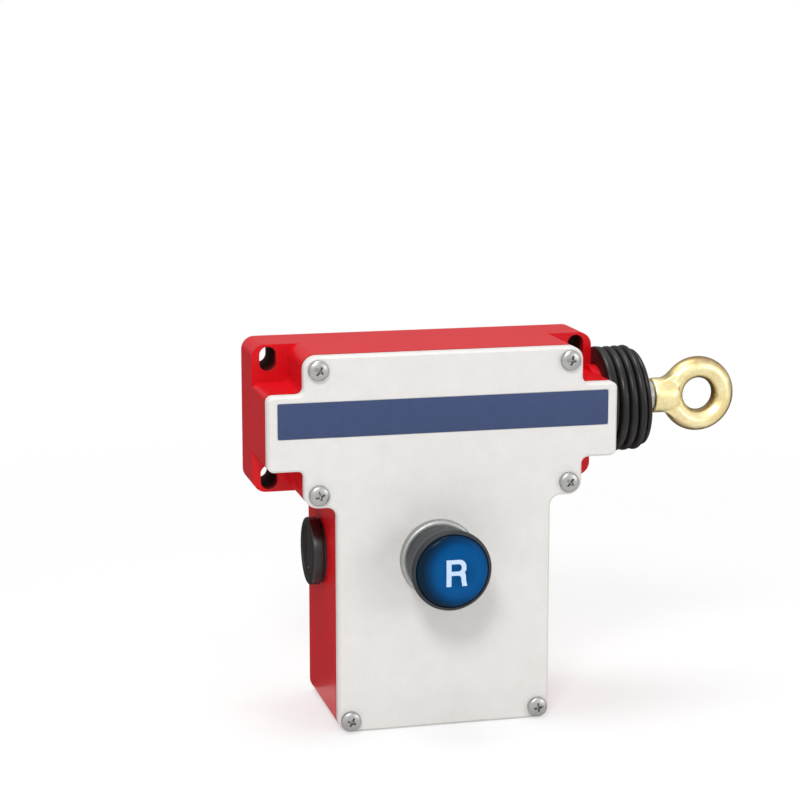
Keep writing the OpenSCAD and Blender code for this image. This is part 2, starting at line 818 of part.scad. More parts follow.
module bellows() {
  tip = bellows_d / 2;
  root = tip - fold_depth;
  bore_r = spigot_d / 2 + gap;
  lip_x = bellows_end_x + 0.6;
  outside = concat(
    [[bellows_start_x, tip - 0.8], [bellows_start_x + 0.4, tip - 0.4], [fold_start_x - 0.5, tip - 0.4]],
    fold_line(tip),
    [[fold_end_x + 1, root - 2], [bellows_end_x, cuff_r + 3], [lip_x, cuff_r + 1.4], [lip_x, cuff_r]]
  );
  inside = concat(
    [[bellows_start_x, bore_r], [fold_start_x - 0.6, bore_r]],
    fold_line(tip - rubber_t - 0.3),
    [[fold_end_x - 0.2, root - 3.4], [fold_end_x, cuff_r + 2.2], [fold_end_x, cuff_r]]
  );
  color(black) translate([0, rope_y, rope_z]) rotate([0, 90, 0])
    rotate_extrude() polygon([for (p = concat(outside, backwards(inside))) [p[1], p[0]]]);
}

// ---- Trip rocker ----
module rocker() {
  slot_low = arm_l - drive_pin_d / 2 - 0.8;
  slot_high = arm_l / cos(half_swing) + drive_pin_d / 2 + 0.8;
  slot_half = drive_pin_d / 2 + gap;
  arm_half = slot_half + 3;
  color(steel) at_rocker() difference() {
    union() {
      slab(rocker_front_y, rocker_back_y) {
        translate([-arm_half, 0]) square([2 * arm_half, slot_high]);
        translate([0, slot_high]) circle(arm_half);
        translate([-pad_x, -pad_r + 0.5]) square([2 * pad_x, 2 * pad_r - 1]);
        translate([-tail_half_w, -hub_r - tail_l]) square([2 * tail_half_w, hub_r + tail_l]);
        for (side = [-1, 1]) translate([side * pad_x, 0]) circle(pad_r);
      }
      rod_y(0, 0, rocker_front_y, hub_back_y, hub_r);
    }
    slab(rocker_front_y - 1, rocker_back_y + 1) {
      translate([-slot_half, slot_low + slot_half])
        square([2 * slot_half, slot_high - slot_low - 2 * slot_half]);
      for (z = [slot_low + slot_half, slot_high - slot_half]) translate([0, z]) circle(slot_half);
    }
    rod_y(0, 0, rocker_front_y - 1, hub_back_y + 1, pivot_d / 2 + run_gap);
  }
}

clip_y = rocker_front_y - gap - clip_t;
clip_groove_r = pivot_d / 2 - 0.6;

module rocker_pin() {
  color(steel) difference() {
    rod_y(0, pivot_z, clip_y - 1.2, -2, pivot_d / 2);
    difference() {
      rod_y(0, pivot_z, clip_y - 0.05, clip_y + clip_t + 0.05, pivot_d);
      rod_y(0, pivot_z, clip_y - 1, clip_y + clip_t + 1, clip_groove_r);
    }
  }
}

// An open retaining ring along Y
module open_clip(x, z, y, t, r, hole_r) {
  difference() {
    rod_y(x, z, y, y + t, r);
    rod_y(x, z, y - 1, y + t + 1, hole_r);
    translate([x - hole_r * 0.8, y - 1, z]) cube([hole_r * 1.6, t + 2, r + 1]);
  }
}

module rocker_clip() {
  color(dark_grey) open_clip(0, pivot_z, clip_y, clip_t, pivot_d / 2 + 2, clip_groove_r + run_gap);
}

// ---- Contact blocks ----
terminal_z = [block_top_z - terminal_drop, block_top_z - terminal_drop - terminal_pitch];
block_screw_places = [
  for (side = [-1, 1]) each [
    [side * (pad_x + block_screw_out), block_top_z - block_screw_in],
    [side * (pad_x - block_screw_out), block_bottom_z + block_screw_in]
  ]
];
terminal_places = [
  for (side = [-1, 1]) for (out = [-1, 1]) for (z = terminal_z)
    [side * pad_x + out * terminal_out, z]
];

// The plungers' lift at rest: the left one is pressed, the right one is free
left_top_z = pivot_z - pad_r - pad_rise - gap;
right_top_z = pivot_z - pad_r + pad_rise - gap;

module contact_block(x) {
  hole = plunger_w + 2 * gap;
  difference() {
    union() {
      translate([x - block_w / 2, block_front_y, block_bottom_z]) cube([block_w, block_d, block_h]);
      // Collar round the plunger
      translate([x - hole / 2 - 1.2, plunger_y - hole / 2 - 1.2, block_top_z - eps])
        cube([hole + 2.4, hole + 2.4, 0.7]);
    }
    translate([x - hole / 2, plunger_y - hole / 2, block_top_z - 10])
      cube([hole, hole, 12]);
    for (p = terminal_places) if (abs(p[0] - x) < block_w / 2)
      translate([p[0] - terminal_size / 2, block_front_y - 1, p[1] - terminal_size / 2])
        cube([terminal_size, terminal_floor + 1, terminal_size]);
    for (p = block_screw_places) if (abs(p[0] - x) < block_w / 2)
      rod_y(p[0], p[1], block_front_y - 1, seat_y + 1, block_screw_d / 2 + thread_gap);
    for (p = terminal_places) if (abs(p[0] - x) < block_w / 2)
      rod_y(p[0], p[1], block_front_y, block_front_y + terminal_floor + terminal_screw_l,
        terminal_screw_d / 2 + thread_gap);
    // Finger grooves at the sides
    for (side = [-1, 1]) for (i = [0 : 3])
      translate([x + side * block_w / 2, block_front_y + block_d / 2, block_bottom_z + 5 + i * 2.4])
        cube([0.8, block_d - 4, 1.2], center = true);
  }
}

module left_contact_block() {
  color(ivory) contact_block(-pad_x);
}

module right_contact_block() {
  color(ivory) contact_block(pad_x);
}

module contact_plunger(x, top_z) {
  half = plunger_w / 2;
  translate([x, plunger_y, top_z - plunger_l]) {
    translate([-half, -half, 0]) cube([plunger_w, plunger_w, plunger_l - 1]);
    translate([-half + 0.6, -half + 0.6, 0]) cube([plunger_w - 1.2, plunger_w - 1.2, plunger_l]);
  }
}

module left_plunger() {
  color(dark_grey) contact_plunger(-pad_x, left_top_z);
}

module right_plunger() {
  color(dark_grey) contact_plunger(pad_x, right_top_z);
}

module block_screws() {
  color(steel) for (p = block_screw_places)
    pan_screw(p[0], p[1], block_front_y, block_screw_d, block_d + screw_bite, small_head_d, small_head_h);
}

module terminal_clamps() {
  size = terminal_size - 1.6;
  color(steel) for (p = terminal_places) difference() {
    translate([p[0] - size / 2, block_front_y + terminal_floor - clamp_t, p[1] - size / 2])
      cube([size, clamp_t, size]);
    rod_y(p[0], p[1], block_front_y, block_front_y + terminal_floor + 1, terminal_screw_d / 2 + thread_gap);
  }
}

module terminal_screws() {
  color(zinc_yellow) for (p = terminal_places)
    pan_screw(p[0], p[1], block_front_y + terminal_floor - clamp_t, terminal_screw_d, terminal_screw_l,
      terminal_head_d, terminal_head_h);
}

// ---- Reset button ----
cap_r = cap_d / 2;
boot_foot_r = bezel_d / 2 - 2;
spring_seat_y = cover_back_y - 0.5;
stem_r = reset_stem_d / 2;

module reset_bezel() {
  color(steel) difference() {
    union() {
      rod_y(reset_x, reset_z, bezel_front_y, bezel_front_y + 1, bezel_d / 2 - 1, bezel_d / 2);
      rod_y(reset_x, reset_z, bezel_front_y + 1 - eps, cover_front_y, bezel_d / 2);
      rod_y(reset_x, reset_z, cover_front_y - eps, neck_end_y, neck_d / 2);
    }
    rod_y(reset_x, reset_z, bezel_front_y - 1, spring_seat_y, 8.6);
    rod_y(reset_x, reset_z, bezel_front_y - 1, neck_end_y + 1, stem_r + run_gap);
    // Groove for the foot of the boot
    difference() {
      rod_y(reset_x, reset_z, bezel_front_y - 1, bezel_front_y + 1.2, boot_foot_r + gap / 2);
      rod_y(reset_x, reset_z, bezel_front_y - 2, bezel_front_y + 2, boot_foot_r - 2.4);
    }
  }
}

module reset_locknut() {
  color(steel) difference() {
    rod_y(reset_x, reset_z, cover_back_y, cover_back_y + locknut_t, locknut_d / 2);
    rod_y(reset_x, reset_z, cover_back_y - 1, cover_back_y + locknut_t + 1, neck_d / 2 + thread_gap);
    for (a = [0 : 60 : 300]) translate([reset_x, cover_back_y + locknut_t, reset_z]) rotate([0, a, 0])
      translate([locknut_d / 2, 0, 0]) cube([4, 5, 3], center = true);
  }
}

module reset_boot() {
  foot_y = bezel_front_y + 1.2;
  lip_y = cap_front_y + rim_back - 0.6;
  rim_r = rim_d / 2;
  sleeve_r = cap_r + gap / 2;
  profile = [
    [boot_foot_r, foot_y], [boot_foot_r, bezel_front_y - 0.6],
    [rim_r - 0.5, (bezel_front_y + lip_y) / 2], [rim_r - 0.3, lip_y + 3.4],
    [rim_r, lip_y + 2.2], [rim_r, lip_y + 0.8], [rim_r - 0.6, lip_y],
    [sleeve_r, lip_y], [sleeve_r, lip_y + 9],
    [boot_foot_r - 2.2, bezel_front_y - 0.4], [boot_foot_r - 2.2, foot_y]
  ];
  color(dark_grey) translate([reset_x, 0, reset_z]) rotate([-90, 0, 0])
    rotate_extrude() polygon(profile);
}

module reset_cap() {
  crown_r = (cap_r * cap_r + cap_crown * cap_crown) / (2 * cap_crown);
  color(blue) difference() {
    intersection() {
      rod_y(reset_x, reset_z, cap_front_y - 1, cap_back_y, cap_r);
      translate([reset_x, cap_front_y + crown_r, reset_z]) sphere(r = crown_r, $fn = 96);
    }
    rod_y(reset_x, reset_z, cap_front_y + cap_face_t, cap_back_y + 1, stem_r + run_gap);
  }
}

// The plunger under the cap: its rounded tip works the latch
module reset_plunger() {
  color(dark_grey) difference() {
    union() {
      rod_y(reset_x, reset_z, cap_front_y + cap_face_t + 0.2, neck_end_y + 3, stem_r);
      rod_y(reset_x, reset_z, neck_end_y + 3 - eps, tip_y - tip_r, tip_r);
      intersection() {
        rod_y(reset_x, reset_z, neck_end_y + 3, tip_y, tip_r);
        translate([reset_x, tip_y - tip_r, reset_z]) sphere(r = tip_r);
      }
    }
    difference() {
      rod_y(reset_x, reset_z, reset_clip_y - 0.05, reset_clip_y + 1.05, stem_r + 1);
      rod_y(reset_x, reset_z, reset_clip_y - 1, reset_clip_y + 2, stem_r - 0.8);
    }
  }
}

reset_clip_y = neck_end_y + gap;

module reset_clip() {
  color(steel) open_clip(reset_x, reset_z, reset_clip_y, 1, stem_r + 2, stem_r - 0.8 + run_gap);
}

module reset_spring() {
  color(steel) translate([reset_x, spring_seat_y, reset_z]) rotate([90, 0, 0])
    coil(reset_spring_d, reset_wire, 6, spring_seat_y - cap_back_y, 6, 14);
}

// ---- Latch ----
bracket_screw_z = reset_z - 6;

module lever_profile() {
  nose_y = rocker_front_y - gap - 0.1;
  nose_back_y = latch_y - latch_plate_t / 2;
  translate([-latch_half_w, 0, 0]) rotate([90, 0, 90]) linear_extrude(2 * latch_half_w) {
    translate([latch_y, latch_z]) circle(latch_boss_r);
    translate([latch_face_y, reset_z - tip_r]) square([latch_plate_t, latch_z - reset_z + tip_r]);
    translate([nose_back_y, latch_z]) square([latch_plate_t, latch_rise]);
    translate([nose_back_y, latch_z + latch_rise - nose_t]) square([nose_y - nose_back_y, nose_t]);
  }
}

module latch_lever() {
  color(steel) difference() {
    union() {
      lever_profile();
      // Foot that the plunger lands on
      translate([reset_x - tip_r, latch_face_y, reset_z - tip_r])
        cube([reset_shift + tip_r, latch_plate_t, 2 * tip_r]);
    }
    rod_x(latch_y, latch_z, -latch_half_w - 1, latch_half_w + 1, latch_pin_r + run_gap);
    // Slot for the coil of the spring
    translate([-latch_spring_half - 0.2, latch_y - 3.5, latch_z - 4])
      cube([2 * latch_spring_half + 0.4, 9, 7.6]);
  }
}

module latch_bracket() {
  ear_top = latch_z + ear_r;
  base_low = bracket_screw_z - small_head_d / 2 - 1;
  color(steel) difference() {
    union() {
      mirrored_x() translate([ear_x, 0, 0]) rotate([90, 0, 90]) linear_extrude(ear_t) {
        translate([latch_y, latch_z]) circle(ear_r);
        translate([latch_y, latch_z - ear_r]) square([seat_y - latch_y, 2 * ear_r]);
      }
      translate([-ear_x - ear_t, seat_y - bracket_base_t, base_low])
        cube([2 * (ear_x + ear_t), bracket_base_t, ear_top - base_low]);
    }
    rod_x(latch_y, latch_z, -ear_x - 5, ear_x + 5, latch_pin_r + run_gap);
    rod_y(0, bracket_screw_z, seat_y - 3, seat_y + 1, block_screw_d / 2 + thread_gap);
  }
}

module latch_bracket_screw() {
  color(steel) pan_screw(0, bracket_screw_z, seat_y - bracket_base_t, block_screw_d,
    screw_bite + 1.5, small_head_d, small_head_h);
}

module latch_pin() {
  color(steel) rod_x(latch_y, latch_z, -ear_x - ear_t - 0.2, ear_x + ear_t + 0.2, latch_pin_r);
}

// Torsion spring on the latch pin, with one leg back to the bracket
module latch_spring() {
  wire = 0.6;
  mean_r = latch_pin_r + 0.2 + wire / 2;
  color(steel) translate([-latch_spring_half, latch_y, latch_z]) rotate([0, 90, 0])
    coil(2 * mean_r, wire, 3, 2 * latch_spring_half, 6, 12, false, seat_y - bracket_base_t - gap - latch_y);
}

// ---- Earth terminal ----
module earth_clamp() {
  size = 8;
  color(steel) difference() {
    translate([earth_x - size / 2, earth_seat_y - 1.2, earth_z - size / 2]) cube([size, 1.2, size]);
    rod_y(earth_x, earth_z, earth_seat_y - 3, earth_seat_y + 1, screw_d / 2 + thread_gap);
  }
}

module earth_screw() {
  color(zinc_yellow)
    pan_screw(earth_x, earth_z, earth_seat_y - 1.2, screw_d, earth_l, screw_head_d, screw_head_h);
}

casting();
cover_gasket();
cover_plate();
label_strip();
cover_screws();
left_entry_plug();
right_entry_plug();
plug_seals();
shaft_bushes();
pull_shaft();
shaft_sleeve();
rope_eye();
drive_pin();
spring_washer();
shaft_nuts();
main_spring();
bellows();
rocker();
rocker_pin();
rocker_clip();
left_contact_block();
right_contact_block();
left_plunger();
right_plunger();
block_screws();
terminal_clamps();
terminal_screws();
reset_bezel();
reset_locknut();
reset_boot();
reset_cap();
reset_plunger();
reset_clip();
reset_spring();
latch_bracket();
latch_bracket_screw();
latch_pin();
latch_lever();
latch_spring();
earth_clamp();
earth_screw();
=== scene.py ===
import json
import math

import bpy
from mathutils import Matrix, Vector


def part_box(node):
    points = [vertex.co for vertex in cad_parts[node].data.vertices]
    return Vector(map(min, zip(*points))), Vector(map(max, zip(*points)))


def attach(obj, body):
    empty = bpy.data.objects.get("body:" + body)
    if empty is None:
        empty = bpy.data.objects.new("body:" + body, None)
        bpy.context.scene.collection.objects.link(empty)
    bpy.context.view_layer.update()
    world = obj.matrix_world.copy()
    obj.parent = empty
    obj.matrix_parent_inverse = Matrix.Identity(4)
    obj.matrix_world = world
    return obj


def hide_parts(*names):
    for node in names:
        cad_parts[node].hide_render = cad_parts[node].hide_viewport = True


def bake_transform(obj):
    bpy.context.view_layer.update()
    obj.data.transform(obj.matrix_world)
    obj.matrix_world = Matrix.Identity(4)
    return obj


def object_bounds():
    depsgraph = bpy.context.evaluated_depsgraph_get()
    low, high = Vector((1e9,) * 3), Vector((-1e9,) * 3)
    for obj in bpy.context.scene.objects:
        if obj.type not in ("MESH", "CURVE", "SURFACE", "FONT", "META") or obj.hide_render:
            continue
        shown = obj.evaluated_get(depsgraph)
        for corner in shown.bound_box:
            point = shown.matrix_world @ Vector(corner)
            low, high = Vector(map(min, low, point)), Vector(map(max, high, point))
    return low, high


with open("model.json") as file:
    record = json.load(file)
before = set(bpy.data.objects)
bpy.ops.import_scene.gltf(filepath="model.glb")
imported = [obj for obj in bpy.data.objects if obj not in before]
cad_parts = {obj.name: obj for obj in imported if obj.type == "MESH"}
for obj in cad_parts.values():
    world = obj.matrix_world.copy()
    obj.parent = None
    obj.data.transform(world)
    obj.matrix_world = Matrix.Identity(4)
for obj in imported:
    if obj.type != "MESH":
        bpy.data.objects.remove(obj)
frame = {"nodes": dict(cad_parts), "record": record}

# Rope pull switch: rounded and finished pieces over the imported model. Metres throughout; +X points
# along the rope, the cover faces -Y and the stem hangs down -Z. Angles are in degrees, apart from
# these two.
FULL_TURN = 2 * math.pi
QUARTER_TURN = math.pi / 2

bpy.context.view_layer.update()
nodes = frame["nodes"]
record = frame["record"]
MM = 0.001
SOLID_MERGE = 1e-6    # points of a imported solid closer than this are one
DRAWN_MERGE = 1e-7    # the same for a piece drawn here


def sin(degrees):
    return math.sin(math.radians(degrees))


def cos(degrees):
    return math.cos(math.radians(degrees))


# ---- Selecting and shaping ----

def object_mode():
    bpy.ops.object.mode_set(mode="OBJECT")


def edit_mode():
    bpy.ops.object.mode_set(mode="EDIT")


def select_none():
    if bpy.context.object and bpy.context.object.mode == "EDIT":
        object_mode()
    bpy.ops.object.select_all(action="DESELECT")


def take(piece):
    """Makes piece the one selected and active object."""
    select_none()
    piece.select_set(True)
    bpy.context.view_layer.objects.active = piece


def newest(name):
    """Names the object that was just made, and its mesh."""
    piece = bpy.context.object
    piece.name = name
    piece.data.name = name
    return piece


def edit(piece, everything=True):
    """Opens the mesh for editing, with everything or nothing selected."""
    take(piece)
    edit_mode()
    bpy.ops.mesh.select_mode(type="VERT")
    bpy.ops.mesh.select_all(action="SELECT" if everything else "DESELECT")


def pick_points(piece, numbers):
    """Selects the vertices with those numbers, in edit mode."""
    bpy.ops.mesh.select_all(action="DESELECT")
    object_mode()
    for number in numbers:
        piece.data.vertices[number].select = True
    edit_mode()


def bevel_edges(piece, wanted, width, segments):
    """Rounds the edges that wanted(edge) is true for."""
    edit(piece, False)
    bpy.ops.mesh.select_mode(type="EDGE")
    object_mode()
    for edge in piece.data.edges:
        edge.select = wanted(edge)
    edit_mode()
    bpy.ops.mesh.bevel(offset=width, segments=segments, affect="EDGES", clamp_overlap=True)
    object_mode()


def modify(piece, kind, **settings):
    """Adds a modifier to piece and applies it."""
    take(piece)
    modifier = piece.modifiers.new(kind.title(), kind)
    for key, value in settings.items():
        setattr(modifier, key, value)
    bpy.ops.object.modifier_apply(modifier=modifier.name)


def ease_edges(piece, width, degrees, segments=2):
    """Rounds every edge that turns by more than degrees."""
    modify(piece, "BEVEL", width=width, segments=segments, limit_method="ANGLE",
           angle_limit=math.radians(degrees))


def smooth(piece, degrees):
    """Shades smooth across edges that turn by less than degrees."""
    take(piece)
    bpy.ops.object.shade_smooth_by_angle(angle=math.radians(degrees))


def set_in_place(piece):
    """Puts the object's own move, turn and scale into its mesh."""
    take(piece)
    bpy.ops.object.transform_apply(location=True, rotation=True, scale=True)


def copied_solid(node, name):
    """A merged copy of a solid's mesh, ready to be shaped."""
    piece = bpy.data.objects.new(name, nodes[node].data.copy())
    bpy.context.scene.collection.objects.link(piece)
    piece.data.materials.clear()
    edit(piece)
    bpy.ops.mesh.customdata_custom_splitnormals_clear()
    bpy.ops.mesh.remove_doubles(threshold=SOLID_MERGE)
    bpy.ops.mesh.dissolve_limited(angle_limit=math.radians(0.5))
    object_mode()
    return piece


def softened(node, name, width, first=None):
    """The solid with its sharp edges rounded, after a first step of its own."""
    sharp, shaded_sharp = 32, 40
    piece = copied_solid(node, name)
    if first:
        first(piece)
    ease_edges(piece, width, sharp, segments=3)
    smooth(piece, shaded_sharp)
    modify(piece, "WEIGHTED_NORMAL", keep_sharp=True, weight=60)
    return piece


def arc(along, radius, size, start, end, steps=6, stretch=1.0):
    """Points (along, radius) on an arc, whose angles start at the +along direction. It can be
    stretched in that direction."""
    turns = [start + (end - start) * i / steps for i in range(steps + 1)]
    return [(along + size * stretch * cos(turn), radius + size * sin(turn)) for turn in turns]


def drawn_line(name, points):
    """A line drawn from point to point, left in edit mode with everything selected. It starts as a
    tiny square that is merged to one point."""
    select_none()
    bpy.ops.mesh.primitive_plane_add(size=MM)
    piece = newest(name)
    edit(piece)
    bpy.ops.mesh.merge(type="CENTER")
    bpy.ops.transform.translate(value=points[0])
    for here, there in zip(points, points[1:]):
        bpy.ops.mesh.extrude_region_move(TRANSFORM_OT_translate={"value": there - here})
    bpy.ops.mesh.select_all(action="SELECT")
    bpy.ops.mesh.remove_doubles(threshold=DRAWN_MERGE)
    bpy.ops.mesh.select_all(action="SELECT")
    return piece


def turned(name, profile, axis, centre, steps=96):
    """A round piece: its profile of (along, radius), closed unless it starts and ends on the axis,
    is drawn point by point and spun about the axis."""
    up, ahead = Vector((0, 0, 1)), Vector((1, 0, 0))
    along, out = {"X": (ahead, up), "Y": (Vector((0, 1, 0)), up)}[axis]
    points = [centre - along * centre.dot(along) + along * a + out * r for a, r in profile]
    if profile[0][1] or profile[-1][1]:
        points.append(points[0])
    piece = drawn_line(name, points)
    bpy.ops.mesh.spin(steps=steps, angle=FULL_TURN, center=centre, axis=along)
    bpy.ops.mesh.select_all(action="SELECT")
    bpy.ops.mesh.remove_doubles(threshold=DRAWN_MERGE)
    bpy.ops.mesh.normals_make_consistent(inside=False)
    object_mode()
    return piece


def rounded_box(name, low, high, corner, axis, rim=0.0):
    """A slab whose four edges along the axis have the radius corner, and whose rim is eased."""
    size = high - low
    select_none()
    bpy.ops.mesh.primitive_cube_add(size=1, location=(low + high) / 2)
    piece = newest(name)
    piece.scale = size
    set_in_place(piece)
    k = "XYZ".index(axis)

    def runs_along(edge):
        first, last = (piece.data.vertices[number].co for number in edge.vertices)
        return abs(first[k] - last[k]) > size[k] / 2

    bevel_edges(piece, runs_along, corner, 5)
    if rim:
        ease_edges(piece, rim, 60)
    return piece


def cut(piece, cutter):
    """Takes the cutter's shape out of piece and removes the cutter."""
    modify(piece, "BOOLEAN", operation="DIFFERENCE", object=cutter, solver="EXACT", use_self=True)
    bpy.data.objects.remove(cutter)


def joined(name, pieces):
    """Makes one object of several."""
    select_none()
    for piece in pieces:
        piece.select_set(True)
    bpy.context.view_layer.objects.active = pieces[0]
    bpy.ops.object.join()
    return newest(name)


def middle(node):
    low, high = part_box(node)
    return (low + high) / 2


# ---- Sizes that shapes and finishes share ----

# Mounting slots: their place, half width and half the length of their straight sides
mounts = {mount["name"]: mount for mount in record["mounts"]}
slots = mounts["right_slots"]
slot_x = slots["pos_m"][0]
slot_z = slots["dims"]["spacing_y_mm"] / 2 * MM
slot_r = slots["dims"]["hole_r_mm"] * MM
slot_straight = slots["dims"]["slot_length_mm"] / 2 * MM - slot_r

# Front of the lugs, which is the floor of the screw pockets
LUG_FACE = -22.7 * MM

# Ring of the rope eye: its outer radius, its middle, its hole and half the width of its band
eye_low, eye_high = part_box("rope_eye")
eye_ring_r = (eye_high.z - eye_low.z) / 2
eye_middle = (eye_low + eye_high) / 2
eye_middle.x = eye_high.x - eye_ring_r
eye_hole_r = mounts["rope_eye_hole"]["dims"]["r_mm"] * MM
band_r = (eye_ring_r - eye_hole_r) / 2


# ---- Nodes and finishes ----

def blank_tree(owner):
    """Turns on the nodes of a material or world and empties them."""
    owner.use_nodes = True
    owner.node_tree.nodes.clear()
    return owner.node_tree


def add_node(tree, kind, settings=None, inputs=None):
    """Adds a node: its settings first, then its inputs' values or the outputs they are linked to."""
    made = tree.nodes.new(kind)
    for key, value in (settings or {}).items():
        setattr(made, key, value)
    for key, value in (inputs or {}).items():
        if isinstance(value, bpy.types.NodeSocket):
            tree.links.new(value, made.inputs[key])
        else:
            made.inputs[key].default_value = value
    return made


class Value:
    """An output whose arithmetic adds Math nodes."""

    def __init__(self, finish, socket):
        self.finish = finish
        self.socket = socket

    def __add__(self, other):
        return self.finish.maths("ADD", self, other)

    def __radd__(self, other):
        return self.finish.maths("ADD", other, self)

    def __sub__(self, other):
        return self.finish.maths("SUBTRACT", self, other)

    def __mul__(self, other):
        return self.finish.maths("MULTIPLY", self, other)


class Finish:
    """A material: one Principled shader, its changing inputs fed by nodes on Object coordinates."""

    def __init__(self, name, constants):
        self.material = bpy.data.materials.new(name)
        self.tree = blank_tree(self.material)
        self.shader = add_node(self.tree, "ShaderNodeBsdfPrincipled", inputs=constants)
        add_node(self.tree, "ShaderNodeOutputMaterial", inputs={"Surface": self.shader.outputs[0]})
        self.place = self.node("ShaderNodeTexCoord", output="Object")

    def node(self, kind, settings=None, inputs=None, output=0):
        """Adds a node and returns one of its outputs."""
        plain = {key: value.socket if isinstance(value, Value) else value
                 for key, value in (inputs or {}).items()}
        return Value(self, add_node(self.tree, kind, settings, plain).outputs[output])

    def feed(self, socket, value):
        self.tree.links.new(value.socket, self.shader.inputs[socket])

    def noise(self, per_metre, detail, rough=0.5, stretch=None):
        """Smooth noise from 0 to 1 with that many features to the metre."""
        where = self.place
        if stretch:
            where = self.node("ShaderNodeMapping", None, {"Vector": where, "Scale": stretch})
        return self.node("ShaderNodeTexNoise", None,
                         {"Vector": where, "Scale": per_metre, "Detail": detail, "Roughness": rough})

    def ramp(self, value, *stops):
        """Turns value into the stops' tones; each stop is a position and a grey or a colour."""
        made = add_node(self.tree, "ShaderNodeValToRGB", inputs={"Fac": value.socket})
        elements = made.color_ramp.elements
        while len(elements) < len(stops):
            elements.new(1.0)
        for element, (position, tone) in zip(elements, stops):
            element.position = position
            element.color = (*tone, 1) if isinstance(tone, tuple) else (tone, tone, tone, 1)
        return Value(self, made.outputs[0])

    def mix(self, share, first, second):
        """The first colour, with that share of the second."""
        first, second = ((*c, 1) if isinstance(c, tuple) else c for c in (first, second))
        return self.node("ShaderNodeMix", {"data_type": "RGBA"},
                         {0: share, 6: first, 7: second}, output=2)

    def relief(self, height, depth, strength):
        """Bump of the given depth in metres."""
        self.feed("Normal", self.node("ShaderNodeBump", None, {
            "Height": height, "Distance": depth, "Strength": strength}))

    def along(self, axis):
        """The place along axis 0, 1 or 2, in metres."""
        return self.node("ShaderNodeSeparateXYZ", None, {"Vector": self.place}, output=axis)

    def maths(self, operation, *values):
        return self.node("ShaderNodeMath", {"operation": operation}, dict(enumerate(values)))

    def from_point(self, point):
        """Distance from a point, in metres."""
        return self.node("ShaderNodeVectorMath", {"operation": "DISTANCE"},
                         {0: self.place, 1: tuple(point)}, output=1)


def shade(colour, factor):
    return tuple(c * factor for c in colour)


def red_enamel():
    """Enamel over a die casting: slight orange peel, and painted shade, near black, inside the slots.
    """
    f = Finish("red enamel", {"Specular IOR Level": 0.20})
    enamel = f.mix(f.noise(28, 3), (0.62, 0.004, 0.010), (0.72, 0.007, 0.015))
    across = f.maths("ABSOLUTE", f.along(0)) - slot_x
    from_slot = f.maths("ABSOLUTE", f.maths("ABSOLUTE", f.along(2)) - slot_z)
    upright = f.maths("MAXIMUM", from_slot - slot_straight, 0.0)
    reach = f.maths("SQRT", across * across + upright * upright)
    deep = f.ramp((f.along(1) - LUG_FACE) * (1 / (5 * MM)), (0.0, 0.0), (1.0, 0.85))
    # Painted shade: near black and duller inside the mounting slots, growing from the lug fronts
    # backwards.
    painted_slot_shade = f.maths("LESS_THAN", reach, slot_r + 0.2 * MM) * deep
    f.feed("Base Color", f.mix(painted_slot_shade, enamel, (0.020, 0.002, 0.002)))
    f.feed("Roughness", 0.28 + f.noise(160, 3) * 0.05 + painted_slot_shade * 0.6)
    f.relief(f.noise(520, 0) + f.noise(90, 0) * 0.8, 0.00006, 0.35)
    return f


def cover_enamel():
    """Matt light grey with a fine texture and soft mottling."""
    f = Finish("cover enamel", {"Specular IOR Level": 0.20})
    speck = f.ramp(f.noise(1500, 2, 0.6), (0.36, 0.0), (0.62, 1.0))
    base = f.mix(f.noise(110, 4, 0.6), (0.690, 0.668, 0.645), (0.805, 0.790, 0.770))
    f.feed("Base Color", f.mix(speck * 0.35, base, (0.70, 0.685, 0.665)))
    f.feed("Roughness", 0.46 + speck * 0.12)
    f.relief(f.noise(1500, 2, 0.6) + f.noise(420, 2) * 0.7, 0.00005, 0.45)
    return f


def label_film():
    """Satin navy film, a little worn."""
    f = Finish("label film", {"Specular IOR Level": 0.14})
    wear = f.noise(300, 4, 0.65)
    f.feed("Base Color", f.mix(wear, (0.043, 0.066, 0.150), (0.055, 0.080, 0.176)))
    f.feed("Roughness", 0.30 + wear * 0.22)
    f.relief(f.noise(900, 2), 0.00002, 0.3)
    return f


def soft_rubber(name, dark, pale, roughness, gloss=0.22):
    """Moulded rubber: dull bloom over a dark base, and a fine matt grain."""
    f = Finish(name, {"Specular IOR Level": gloss})
    bloom = f.noise(140, 4, 0.6)
    f.feed("Base Color", f.mix(bloom, dark, pale))
    f.feed("Roughness", roughness + bloom * 0.14)
    f.relief(f.noise(1400, 2), 0.00003, 0.4)
    return f


def moulded_plastic(name, colour, roughness, gloss=0.3):
    """Moulded plastic with a faint flow pattern."""
    f = Finish(name, {"Specular IOR Level": gloss})
    flow = f.noise(90, 3, 0.55, stretch=(1, 1, 3))
    f.feed("Base Color", f.mix(flow, shade(colour, 0.90), shade(colour, 1.08)))
    f.feed("Roughness", roughness + f.noise(500, 3) * 0.12)
    f.relief(f.noise(2000, 2), 0.00002, 0.35)
    return f


def plated_steel(name, colour, roughness, streak=(1, 1, 1)):
    """Plated steel with fine lines and dull patches; streak squeezes the lines along each axis."""
    f = Finish(name, {"Metallic": 1.0})
    patch = f.noise(220, 4, 0.6)
    lines = f.noise(1600, 3, 0.6, stretch=streak)
    f.feed("Base Color", f.mix(patch, shade(colour, 0.84), shade(colour, 1.10)))
    f.feed("Roughness", roughness + lines * 0.16 + patch * 0.06)
    f.relief(lines, 0.00002, 0.35)
    return f


